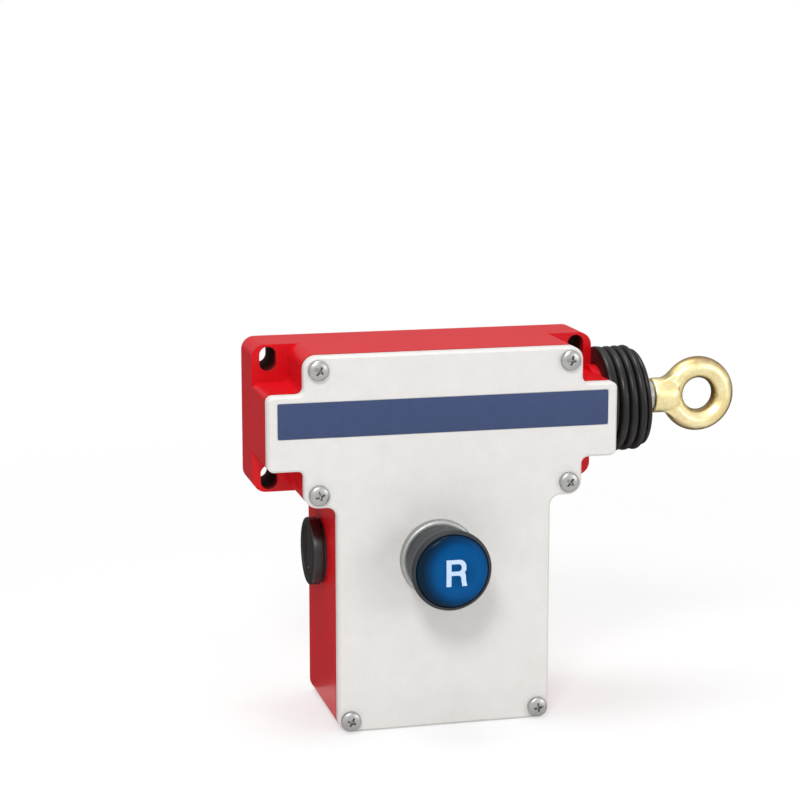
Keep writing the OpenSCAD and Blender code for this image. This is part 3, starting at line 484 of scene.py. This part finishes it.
def yellow_passivated():
    """Yellow chromate on a forging: straw with olive and rose patches over a hammered skin, and
    painted shade, brown, at the inner and outer sides of the ring."""
    f = Finish("yellow passivated forging", {"Metallic": 1.0})
    tint = f.ramp(f.noise(75, 4, 0.6), (0.30, (0.78, 0.62, 0.29)), (0.46, (0.88, 0.75, 0.40)),
                  (0.58, (0.93, 0.83, 0.49)), (0.72, (0.90, 0.70, 0.42)))
    grime = f.ramp(f.noise(340, 4, 0.65), (0.40, 0.0), (0.80, 1.0))
    # 0 on the middle line of the band and 1 at its edges
    aside = f.maths("ABSOLUTE", f.from_point(eye_middle) - (eye_hole_r + band_r)) * (1 / band_r)
    # 0 where the shank meets the ring and 1 well into the ring
    past_shank = (f.along(0) - (eye_middle.x - eye_ring_r)) * (1 / (14 * MM))
    on_ring = f.ramp(past_shank, (0.25, 0.0), (0.75, 1.0))
    # Painted shade: dark brown at the inner and outer sides of the ring, where its band turns away from
    # the light.
    sides = f.ramp(aside + (f.noise(500, 2) - 0.5) * 0.25, (0.58, 0.0), (0.90, 1.0)) * on_ring
    worn = f.mix(grime * 0.35, tint, (0.50, 0.37, 0.15))
    f.feed("Base Color", f.mix(sides * 0.88, worn, (0.32, 0.19, 0.075)))
    f.feed("Roughness", 0.30 + f.noise(400, 3) * 0.16)
    f.relief(f.noise(240, 3) + f.noise(1100, 2) * 0.25, 0.00016, 0.55)
    return f


def turned_bronze():
    f = Finish("turned bronze", {"Metallic": 1.0})
    f.feed("Base Color", f.mix(f.noise(200, 3), (0.50, 0.30, 0.13), (0.62, 0.40, 0.19)))
    f.feed("Roughness", 0.30 + f.noise(1500, 2, 0.5, stretch=(6, 1, 1)) * 0.2)
    return f


def gloss_cap():
    """Gloss blue plastic with a painted bright patch a little beside its middle, and painted shade,
    deep blue to near black, towards its rim.
    """
    f = Finish("blue cap plastic", {"Specular IOR Level": 0.06})
    painted_light_centre = middle("reset_cap")
    painted_light_centre.x += 2.6 * MM
    painted_light_centre.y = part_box("reset_cap")[0].y
    spread = f.from_point(painted_light_centre) * (1 / (15 * MM))
    # Painted light and shade: brightest blue at the painted light centre, darkening to near black at
    # the rim.
    depth = f.ramp(spread + (f.noise(200, 2) - 0.5) * 0.06, (0.10, (0.000, 0.056, 0.185)),
                   (0.48, (0.001, 0.080, 0.262)), (0.64, (0.001, 0.068, 0.225)),
                   (0.80, (0.001, 0.034, 0.105)), (0.94, (0.003, 0.015, 0.034)))
    f.feed("Base Color", depth)
    f.feed("Roughness", 0.14 + f.noise(400, 3) * 0.08)
    f.relief(f.noise(150, 2), 0.00006, 0.25)
    return f


def pale_inlay():
    """The moulded-in pale plastic of the reset mark."""
    f = Finish("pale inlay", {"Specular IOR Level": 0.2})
    f.feed("Base Color", f.mix(f.noise(500, 3), (0.50, 0.66, 0.95), (0.58, 0.74, 0.98)))
    f.feed("Roughness", 0.28 + f.noise(900, 2) * 0.1)
    return f


# One finish for each material slot of the record
finishes = {
    "red_paint": red_enamel(),
    "cover_paint": cover_enamel(),
    "label_navy": label_film(),
    "gasket_rubber": soft_rubber("gasket rubber", (0.020, 0.020, 0.021), (0.035, 0.034, 0.034), 0.62),
    "bellows_rubber": soft_rubber("bellows rubber", (0.005, 0.005, 0.005), (0.011, 0.010, 0.010),
                                  0.28, gloss=0.34),
    "plug_plastic": moulded_plastic("black plug plastic", (0.010, 0.007, 0.007), 0.28, gloss=0.55),
    "bright_steel": plated_steel("bright zinc plate", (0.42, 0.42, 0.415), 0.26),
    "spring_steel": plated_steel("drawn spring wire", (0.40, 0.40, 0.42), 0.28, (1, 4, 4)),
    "yellow_zinc": yellow_passivated(),
    "bush_bronze": turned_bronze(),
    "block_plastic": moulded_plastic("ivory block plastic", (0.66, 0.62, 0.50), 0.42),
    "dark_plastic": moulded_plastic("dark slider plastic", (0.050, 0.056, 0.064), 0.38),
    "boot_rubber": soft_rubber("reset boot rubber", (0.022, 0.026, 0.030), (0.036, 0.041, 0.046), 0.42),
    "bezel_metal": plated_steel("satin bezel metal", (0.42, 0.425, 0.42), 0.36),
    "cap_blue": gloss_cap(),
}
inlay = pale_inlay()


def dress(piece, slot, body=None, finish=None):
    """Gives a new piece its finish, and its body when one is given."""
    piece.data.materials.clear()
    piece.data.materials.append((finish or finishes[slot]).material)
    if body:
        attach(piece, body)


for part in record["subparts"]:
    for holder in nodes[part["node"]].material_slots:
        holder.link = "OBJECT"
        holder.material = finishes[part["material_slot"]].material

# ---- Housing and cover ----

def fillet_pockets(piece):
    """Rounds the inner edges where the walls of the screw pockets meet the front of the lugs."""
    floor_edges, wall_edges = set(), set()
    for face in piece.data.polygons:
        if face.normal.y < -0.99 and abs(face.center.y - LUG_FACE) < 0.01 * MM:
            floor_edges.update(face.edge_keys)
        elif abs(face.normal.y) < 0.2 and face.center.y < LUG_FACE - MM:
            wall_edges.update(face.edge_keys)
    inner = floor_edges & wall_edges
    bevel_edges(piece, lambda edge: tuple(sorted(edge.vertices)) in inner, 1.7 * MM, 4)


housing = softened("casting", "housing_casting", 0.8 * MM, fillet_pockets)
dress(housing, "red_paint", "housing")
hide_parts("casting")

cover = softened("cover_plate", "front_cover", 0.55 * MM)
dress(cover, "cover_paint", "housing")
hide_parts("cover_plate")

strip_low, strip_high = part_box("label_strip")
strip = rounded_box("name_strip", strip_low, strip_high, 0.6 * MM, "Y", rim=0.08 * MM)
smooth(strip, 35)
dress(strip, "label_navy", "housing")
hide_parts("label_strip")

# ---- Cover screws ----

screws_low, screws_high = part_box("cover_screws")
head_y, tip_y = screws_low.y, screws_high.y
cover_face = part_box("cover_plate")[0].y
head_r = 3.8 * MM
screw_x = screws_high.x - head_r
screw_z = 23 * MM
low_screw_x = 36.1 * MM
low_screw_z = screws_low.z + head_r
# Place of each screw, and how far its cross happens to be turned
screw_spots = [
    (-screw_x, screw_z, 34), (screw_x, screw_z, 12), (-screw_x, -screw_z, -18),
    (screw_x, -screw_z, 40), (-low_screw_x, low_screw_z, 26), (low_screw_x, low_screw_z, -8),
]


def screw_recess():
    """A cutter for a cross recess: two arms that taper inwards, and a core cone."""
    arm_length, arm_width, arm_depth, taper = 4.9 * MM, 1.15 * MM, 3.4 * MM, 0.5
    core_r, core_tip_r, core_depth = 1.5 * MM, 0.5 * MM, 3.8 * MM
    pieces = []
    for turn in (0, QUARTER_TURN):
        select_none()
        bpy.ops.mesh.primitive_cube_add(size=1, location=(0, head_y, 0), rotation=(0, turn, 0))
        arm = newest("recess_arm")
        arm.scale = (arm_length, arm_depth, arm_width)
        set_in_place(arm)
        deep_end = [point.index for point in arm.data.vertices if point.co.y > head_y]
        edit(arm, False)
        pick_points(arm, deep_end)
        bpy.ops.transform.resize(value=(taper, 1, taper))
        object_mode()
        pieces.append(arm)
    select_none()
    bpy.ops.mesh.primitive_cone_add(vertices=16, radius1=core_r, radius2=core_tip_r, depth=core_depth,
                                    location=(0, head_y, 0), rotation=(-QUARTER_TURN, 0, 0))
    pieces.append(newest("recess_core"))
    set_in_place(pieces[-1])
    return joined("recess", pieces)


def screw_blank():
    """A pan head screw on the Y axis with a cross recess."""
    shank_r, point, ease = 2 * MM, 0.5 * MM, 0.2 * MM
    rim_y = cover_face - 1.15 * MM
    crown_height, fullness = head_y - rim_y, 0.9
    profile = [(tip_y, 0), (tip_y, shank_r - point), (tip_y - point, shank_r), (cover_face, shank_r),
               (cover_face, head_r - ease), (cover_face - ease, head_r), (rim_y, head_r)]
    profile += [(rim_y + crown_height * sin(turn) ** fullness, head_r * cos(turn))
                for turn in range(12, 90, 11)]
    profile += [(head_y, 0)]
    screw = turned("screw_blank", profile, "Y", Vector((0, 0, 0)), steps=48)
    cut(screw, screw_recess())
    ease_edges(screw, 0.10 * MM, 40)
    smooth(screw, 40)
    return screw


blank = screw_blank()
screws = []
for x, z, turn in screw_spots:
    take(blank)
    bpy.ops.object.duplicate()
    screw = bpy.context.object
    screw.rotation_euler = (0, math.radians(turn), 0)
    screw.location = (x, 0, z)
    set_in_place(screw)
    screws.append(screw)
bpy.data.objects.remove(blank)
cover_screws = joined("cross_recess_screws", screws)
dress(cover_screws, "bright_steel", "housing")
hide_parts("cover_screws")

# ---- Blanking plugs ----

def blanking_plug(name, node, side):
    """A round plug with an eased rim, a shallow dished face and a coin slot; side is -1 or 1."""
    low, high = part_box(node)
    seals_low, seals_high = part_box("plug_seals")
    face, root, seat = (low.x, high.x, seals_low.x) if side < 0 else (high.x, low.x, seals_high.x)
    centre = (low + high) / 2
    radius = (high.z - low.z) / 2
    neck_r, rim, ease = 9.9 * MM, 0.9 * MM, 0.3 * MM
    dish_depth, dish_r, dish_edge_r = 0.5 * MM, radius - 3.2 * MM, radius - 2.6 * MM
    inward = -side
    dish = face + inward * dish_depth
    profile = [(dish, 0), (dish, dish_r), (face, dish_edge_r)]
    profile += arc(face + inward * rim, radius - rim, rim, 90 + inward * 90, 90 + inward * 10, 4)
    profile += [(seat - inward * ease, radius), (seat, radius - ease), (seat, neck_r),
                (root - inward * 2 * ease, neck_r), (root, neck_r - 2 * ease), (root, 0)]
    plug = turned(name, profile, "X", centre)
    slot_depth, slot_half_width, slot_half_length, slot_corner = 2.2 * MM, 1.3 * MM, 7.5 * MM, 1.2 * MM
    half = Vector((slot_depth, slot_half_width, slot_half_length))
    at_face = Vector((face, centre.y, centre.z))
    cut(plug, rounded_box("coin_slot", at_face - half, at_face + half, slot_corner, "X"))
    ease_edges(plug, 0.15 * MM, 50)
    smooth(plug, 35)
    dress(plug, "plug_plastic", "housing")
    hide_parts(node)


blanking_plug("left_plug", "left_entry_plug", -1)
blanking_plug("right_plug", "right_entry_plug", 1)

# ---- Rope eye ----

# A disc with a round groove in its rim, thicker than the forging. Cutting it away leaves the inner side
# of the eye's band round.
flare_r, flare_half = eye_hole_r + band_r, 5 * MM
flare_profile = [(eye_middle.y - flare_half, 0), (eye_middle.y - flare_half, flare_r)]
flare_profile += arc(eye_middle.y, flare_r, band_r, 200, 340, 14)
flare_profile += [(eye_middle.y + flare_half, flare_r), (eye_middle.y + flare_half, 0)]
eye = copied_solid("rope_eye", "forged_eye")
cut(eye, turned("hole_flare", flare_profile, "Y", eye_middle, steps=72))
modify(eye, "REMESH", mode="VOXEL", voxel_size=0.40 * MM, adaptivity=0.0)
modify(eye, "SMOOTH", factor=0.5, iterations=14)
smooth(eye, 60)
dress(eye, "yellow_zinc", "shaft")
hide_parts("rope_eye")

# ---- Bellows ----

bellows_low, bellows_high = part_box("bellows")
bellows_r = (bellows_high.z - bellows_low.z) / 2
rope_axis = middle("shaft_sleeve")
sleeve_low, sleeve_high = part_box("shaft_sleeve")
cuff_r = (sleeve_high.z - sleeve_low.z) / 2 + 0.1 * MM
collar_end = bellows_low.x + 4.25 * MM
# Crest of each fold: its distance from the box, and how far it stands back from the widest one
crests = [(6.35 * MM, 0.0), (9.85 * MM, 0.0), (13.5 * MM, 0.0), (16.5 * MM, 1.6 * MM)]
crests = [(bellows_low.x + along, bellows_r - drop) for along, drop in crests]
last_crest, last_crest_r = crests[-1]


def fold_side(crest, radius, reach, turns):
    """One side of a fold between its crest and the crease that lies reach away."""
    fold_depth, fullness = 2.4 * MM, 0.8
    return [(crest + reach * cos(turn), radius - fold_depth * (1 - sin(turn) ** fullness))
            for turn in turns]


def bellows_profile():
    """Collar, full round folds with tight creases, a rounded end and the cuff; then the inner wall."""
    start, end = bellows_low.x, bellows_high.x
    collar = ((0, 0.9), (0.3, 0.5), (1.2, 0.3), (3.0, 0.3), (3.75, 0.8))
    profile = [(start + along * MM, bellows_r - inset * MM) for along, inset in collar]
    creases = [collar_end] + [(a[0] + b[0]) / 2 for a, b in zip(crests, crests[1:])]
    for i, (crest, radius) in enumerate(crests):
        profile += fold_side(crest, radius, creases[i] - crest, range(8, 90, 12))
        if i + 1 < len(crests):
            profile += fold_side(crest, radius, creases[i + 1] - crest, range(90, 7, -12))
    length, drop = end - 1.7 * MM - last_crest, 6.5 * MM
    profile += [(last_crest + length * sin(turn), last_crest_r - drop * (1 - cos(turn)))
                for turn in range(0, 90, 10)]
    profile += [(end - 1.4 * MM, last_crest_r - 8.5 * MM)]
    cuff = ((1.1, 2.6), (0.6, 1.5), (0, 1.1), (0, 0), (2.6, 0))
    profile += [(end - back * MM, cuff_r + out * MM) for back, out in cuff]
    # The inner wall clears the creases and grips the neck of the box
    grip_r = 13.3 * MM
    profile += [(end - 2.6 * MM, 12.6 * MM), (collar_end, 14.6 * MM),
                (collar_end - 0.6 * MM, grip_r), (start, grip_r)]
    return profile


def lean(x):
    """Degrees by which the bellows leans at x: none at the box, most at the last crest, then less."""
    most, build_up, loss = 5.0, 1.2, 0.8
    if x <= last_crest:
        return most * ((x - bellows_low.x) / (last_crest - bellows_low.x)) ** build_up
    return most * (1 - loss * (x - last_crest) / (bellows_high.x - last_crest))


bellows = turned("rope_bellows", bellows_profile(), "X", rope_axis, steps=120)
rings = {}
for point in bellows.data.vertices:
    rings.setdefault(round(point.co.x, 6), set()).add(point.index)
edit(bellows, False)
for x, members in rings.items():
    share = (x - bellows_low.x) / (bellows_high.x - bellows_low.x)
    sag = 0.8 * MM * (1 - share) * min(1, share * 3)    # most at a third of the length
    pick_points(bellows, members)
    bpy.ops.transform.rotate(value=math.radians(lean(x)), orient_axis="Y",
                             center_override=(x, rope_axis.y, rope_axis.z))
    bpy.ops.transform.translate(value=(0, 0, -sag))
object_mode()
smooth(bellows, 60)
dress(bellows, "bellows_rubber")
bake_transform(bellows)
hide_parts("bellows")

# ---- Reset button: cap ----

reset_axis = middle("reset_cap")
cap_low, cap_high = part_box("reset_cap")
cap_r = (cap_high.x - cap_low.x) / 2
crown = 1.6 * MM
crown_r = (cap_r ** 2 + crown ** 2) / (2 * crown)
cap_edge_r = 2.3 * MM


def dome(radius):
    """Y of the cap's crown at a radius. It starts 0.1 mm behind the box's front, to leave room for the
    mark that stands on it."""
    return cap_low.y + 0.1 * MM + crown_r - math.sqrt(crown_r ** 2 - radius ** 2)


flat_r = cap_r - cap_edge_r
edge_y = dome(flat_r) + cap_edge_r * 0.94    # so that the round edge leaves the crown without a step
bore_r, bore_y = 4.1 * MM, cap_low.y + 3.2 * MM
ease = 0.3 * MM
cap_profile = [(dome(r), r) for r in (0, 2 * MM, 4 * MM, 6 * MM, 8 * MM, 9.5 * MM, flat_r - 0.2 * MM)]
cap_profile += arc(edge_y, flat_r, cap_edge_r, 162, 90)
cap_profile += [(cap_high.y - ease, cap_r), (cap_high.y, cap_r - ease), (cap_high.y, bore_r),
                (bore_y, bore_r), (bore_y, 0)]
cap = turned("reset_button_cap", cap_profile, "Y", reset_axis)
smooth(cap, 40)
dress(cap, "cap_blue", "reset_button")
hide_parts("reset_cap")

# ---- Reset mark, drawn in millimetres from its lower left corner, then laid on the cap ----

mark_width, mark_height = 7.8, 9.9
mark_corner = Vector((reset_axis.x - 2.8 * MM, cap_low.y - 2 * MM, reset_axis.z - 5.2 * MM))
mark_lines = {
    "reset_mark": (
        [(0, 0), (0, mark_height), (3, mark_height)] + arc(4.8, 7.3, 2.6, 90, 0)
        + [(7.4, 6.7)] + arc(5.9, 6.5, 1.5, 0, -55, 4)
        + [(7.15, 4.3), (7.3, 2.2), (mark_width, 0), (5.95, 0), (5.6, 1.8)]
        + arc(4.3, 2.9, 1.2, 0, 90, 4) + [(1.8, 4.1), (1.8, 0)]
    ),
    "mark_eye": (
        [(1.8, 5.65)] + arc(4.45, 6.85, 1.2, -90, 0, 4) + arc(4.45, 7.15, 1.2, 0, 90, 4) + [(1.8, 8.35)]
    ),
}
lines = []
for name, outline in mark_lines.items():
    corners = [mark_corner + Vector((x * MM, 0, z * MM)) for x, z in outline + outline[:1]]
    lines.append(drawn_line(name, corners))
    object_mode()
mark = joined("reset_mark", lines)
edit(mark)
bpy.ops.mesh.fill(use_beauty=True)
# Cut into cells, so that it can follow the crown
cells = 9
for across, length in ((Vector((1, 0, 0)), mark_width * MM), (Vector((0, 0, 1)), mark_height * MM)):
    for i in range(1, cells):
        bpy.ops.mesh.select_all(action="SELECT")
        bpy.ops.mesh.bisect(plane_co=mark_corner + across * length * i / cells, plane_no=across)
object_mode()
modify(mark, "SHRINKWRAP", target=cap, wrap_method="PROJECT", use_project_y=True,
       use_negative_direction=True, use_positive_direction=True)
mark_rise, mark_depth = 0.06 * MM, 0.3 * MM
edit(mark)
bpy.ops.transform.translate(value=(0, -mark_rise, 0))
bpy.ops.mesh.extrude_region_move(TRANSFORM_OT_translate={"value": (0, mark_depth, 0)})
bpy.ops.mesh.select_all(action="SELECT")
bpy.ops.mesh.normals_make_consistent(inside=False)
object_mode()
smooth(mark, 30)
dress(mark, "cap_blue", "reset_button", inlay)

# ---- Reset button: rubber sleeve and bezel ----

bezel_low, bezel_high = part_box("reset_bezel")
bezel_r = (bezel_high.x - bezel_low.x) / 2
boot_low, boot_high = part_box("reset_boot")
boot_r = (boot_high.x - boot_low.x) / 2
foot_r = bezel_r - 2.0 * MM
lip_r = cap_r + 0.10 * MM

boot_wall = 2.2 * MM
foot_y = bezel_low.y - 0.5 * MM
flare_length, flare_rise = boot_low.y - bezel_low.y, boot_r - 0.35 * MM - foot_r
boot_profile = [(boot_high.y, foot_r), (foot_y, foot_r)]
boot_profile += [(bezel_low.y + flare_length * share, foot_r + flare_rise * math.sqrt(share))
                 for share in (0.12, 0.25, 0.38, 0.5, 0.62, 0.74)]
# The bead at the mouth, in millimetres: distance behind the mouth, and inwards from the widest radius
boot_profile += [(boot_low.y + behind * MM, boot_r - inset * MM) for behind, inset in (
    (2.9, 0.12), (2.0, 0), (1.2, 0.02), (0.5, 0.3), (0.1, 0.8), (0, 1.25))]
boot_profile += [(boot_low.y + 0.1 * MM, lip_r + 0.35 * MM), (boot_low.y + 0.4 * MM, lip_r),
                 (boot_low.y + 8.5 * MM, lip_r), (foot_y, foot_r - boot_wall),
                 (boot_high.y, foot_r - boot_wall)]
boot = turned("reset_sleeve", boot_profile, "Y", reset_axis)
smooth(boot, 35)
dress(boot, "boot_rubber")
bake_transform(boot)
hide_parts("reset_boot")

neck_r, well_r, stem_r = 11 * MM, 8.6 * MM, 4.05 * MM
spring_seat = -50.5 * MM
groove_y = bezel_low.y + 1.2 * MM
groove_in, groove_out = foot_r - 2.4 * MM, foot_r + 0.15 * MM
ease, round_length, round_depth = 0.25 * MM, 1.4 * MM, 1.1 * MM
bezel_profile = [(cover_face, neck_r), (cover_face, bezel_r - ease), (cover_face - ease, bezel_r)]
bezel_profile += arc(bezel_low.y + round_length, bezel_r - round_depth, round_depth, 90, 180, 5,
                     stretch=round_length / round_depth)
bezel_profile += [
    (bezel_low.y, groove_out), (groove_y, groove_out), (groove_y, groove_in), (bezel_low.y, groove_in),
    (bezel_low.y, well_r), (spring_seat, well_r), (spring_seat, stem_r), (bezel_high.y, stem_r),
    (bezel_high.y, neck_r - 0.5 * MM), (bezel_high.y - 0.5 * MM, neck_r),
]
bezel = turned("reset_bezel_ring", bezel_profile, "Y", reset_axis)
smooth(bezel, 30)
dress(bezel, "bezel_metal", "housing")
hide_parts("reset_bezel")

# ---- Springs ----

for node, name, axis, moving in (
    ("main_spring", "shaft_spring", 0, "shaft"), ("reset_spring", "button_spring", 1, "reset_button"),
):
    spring = copied_solid(node, name)
    modify(spring, "SUBSURF", levels=1, render_levels=1)
    smooth(spring, 60)
    dress(spring, "spring_steel")
    low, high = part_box(node)
    start, end = middle(node), middle(node)
    start[axis], end[axis] = low[axis], high[axis]
    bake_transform(spring)
    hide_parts(node)

# ---- Floor and grey cards ----

case_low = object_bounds()[0]


def mixed(tree, share, first, second):
    """The first shader, with that share of the second."""
    return add_node(tree, "ShaderNodeMixShader", None, {0: share, 1: first, 2: second}).outputs[0]


def sheet(name, place, size, turn=(0, 0, 0)):
    """A flat sheet for the stage. Returns it and the empty tree of its material."""
    select_none()
    bpy.ops.mesh.primitive_plane_add(size=1, location=place, rotation=turn)
    piece = newest(name)
    piece.scale = (*size, 1)
    set_in_place(piece)
    paper = bpy.data.materials.new(name)
    piece.data.materials.append(paper)
    return piece, blank_tree(paper)


# White paper: shaded near the switch, plain white further out, and clear from below
floor, tree = sheet("studio_floor", (0, 0, case_low.z - 0.2 * MM), (60, 60))
where = add_node(tree, "ShaderNodeTexCoord").outputs["Object"]
distance = add_node(tree, "ShaderNodeVectorMath", {"operation": "LENGTH"}, {0: where})
fade = add_node(tree, "ShaderNodeMapRange", {"interpolation_type": "SMOOTHSTEP"}, {
    "Value": distance.outputs["Value"], "From Min": 0.16, "From Max": 0.55, "To Min": 0.55})
matt = add_node(tree, "ShaderNodeBsdfDiffuse", None, {"Color": (0.90, 0.90, 0.90, 1)}).outputs[0]
glow = add_node(tree, "ShaderNodeEmission", None, {"Strength": 0.10}).outputs[0]
lifted = add_node(tree, "ShaderNodeAddShader", None, {0: matt, 1: glow}).outputs[0]
white = add_node(tree, "ShaderNodeEmission", None, {"Strength": 1.0}).outputs[0]
as_seen = mixed(tree, fade.outputs[0], lifted, white)
by_camera = add_node(tree, "ShaderNodeLightPath").outputs["Is Camera Ray"]
upper_side = mixed(tree, by_camera, matt, as_seen)
clear = add_node(tree, "ShaderNodeBsdfTransparent").outputs[0]
from_below = add_node(tree, "ShaderNodeNewGeometry").outputs["Backfacing"]
one_sided = mixed(tree, from_below, upper_side, clear)
add_node(tree, "ShaderNodeOutputMaterial", None, {"Surface": one_sided})


def grey_card(name, place, size, turn, grey):
    """A card that is seen only in reflections, to give gloss and metal their darker sides."""
    card, tree = sheet(name, place, size, turn)
    tone = add_node(tree, "ShaderNodeEmission", None, {"Color": (grey, grey, grey, 1)})
    add_node(tree, "ShaderNodeOutputMaterial", None, {"Surface": tone.outputs[0]})
    card.visible_camera = card.visible_diffuse = card.visible_shadow = False
    card.visible_transmission = card.visible_volume_scatter = False


upright = (QUARTER_TURN, 0, 0)
grey_card("high_back_card", (0, 0.45, 0.24), (1.8, 0.42), upright, 0.30)
grey_card("low_back_card", (0, 0.45, -0.045), (1.8, 0.15), upright, 0.10)
grey_card("table_card", (0, 0.225, case_low.z + 0.4 * MM), (1.8, 0.45), (0, 0, 0), 0.10)

# ---- World and lamps ----

world = bpy.data.worlds.new("studio")
bpy.context.scene.world = world
tree = blank_tree(world)
path = add_node(tree, "ShaderNodeLightPath")
seen = path.outputs["Is Camera Ray"]
for kind in ("Is Glossy Ray", "Is Transmission Ray"):
    pair = {0: seen, 1: path.outputs[kind]}
    seen = add_node(tree, "ShaderNodeMath", {"operation": "MAXIMUM"}, pair).outputs[0]
ambient, backdrop = (
    add_node(tree, "ShaderNodeBackground", None, {"Color": (1, 1, 1, 1), "Strength": power}).outputs[0]
    for power in (0.45, 1.0)
)
add_node(tree, "ShaderNodeOutputWorld", None, {"Surface": mixed(tree, seen, ambient, backdrop)})

lamp_aim = Vector((0.01, -0.03, -0.03))


def stand(name, data, place, towards):
    """Puts a lamp or a camera in place and turns it towards a direction."""
    holder = bpy.data.objects.new(name, data)
    bpy.context.scene.collection.objects.link(holder)
    holder.location = place
    holder.rotation_euler = towards.to_track_quat("-Z", "Y").to_euler()
    return holder


# Name, place, side in metres, watts
for name, place, size, watts in (
    ("key_lamp", (-0.40, -0.95, 0.85), 0.32, 7.2),
    ("fill_lamp", (0.85, -0.95, 0.25), 0.45, 2.6),
    ("top_lamp", (-0.10, 0.05, 1.10), 0.45, 5.5),
):
    lamp = bpy.data.lights.new(name, "AREA")
    lamp.shape = "SQUARE"
    lamp.size = size
    lamp.energy = watts
    stand(name, lamp, place, lamp_aim - Vector(place))

# ---- Camera ----

# Turned to the right by yaw and down by pitch, with the point it looks at that far away
yaw, pitch, reach = 13.902, 10.675, 0.8562
looks_at = Vector((-3.83, 0, 0.37)) * MM
ahead = Vector((sin(yaw) * cos(pitch), cos(yaw) * cos(pitch), -sin(pitch)))
lens = bpy.data.cameras.new("camera")
lens.lens = 99.06
lens.sensor_width = 36
bpy.context.scene.camera = stand("camera", lens, looks_at - ahead * reach, ahead)

bpy.context.scene.view_settings.view_transform = "Standard"

select_none()
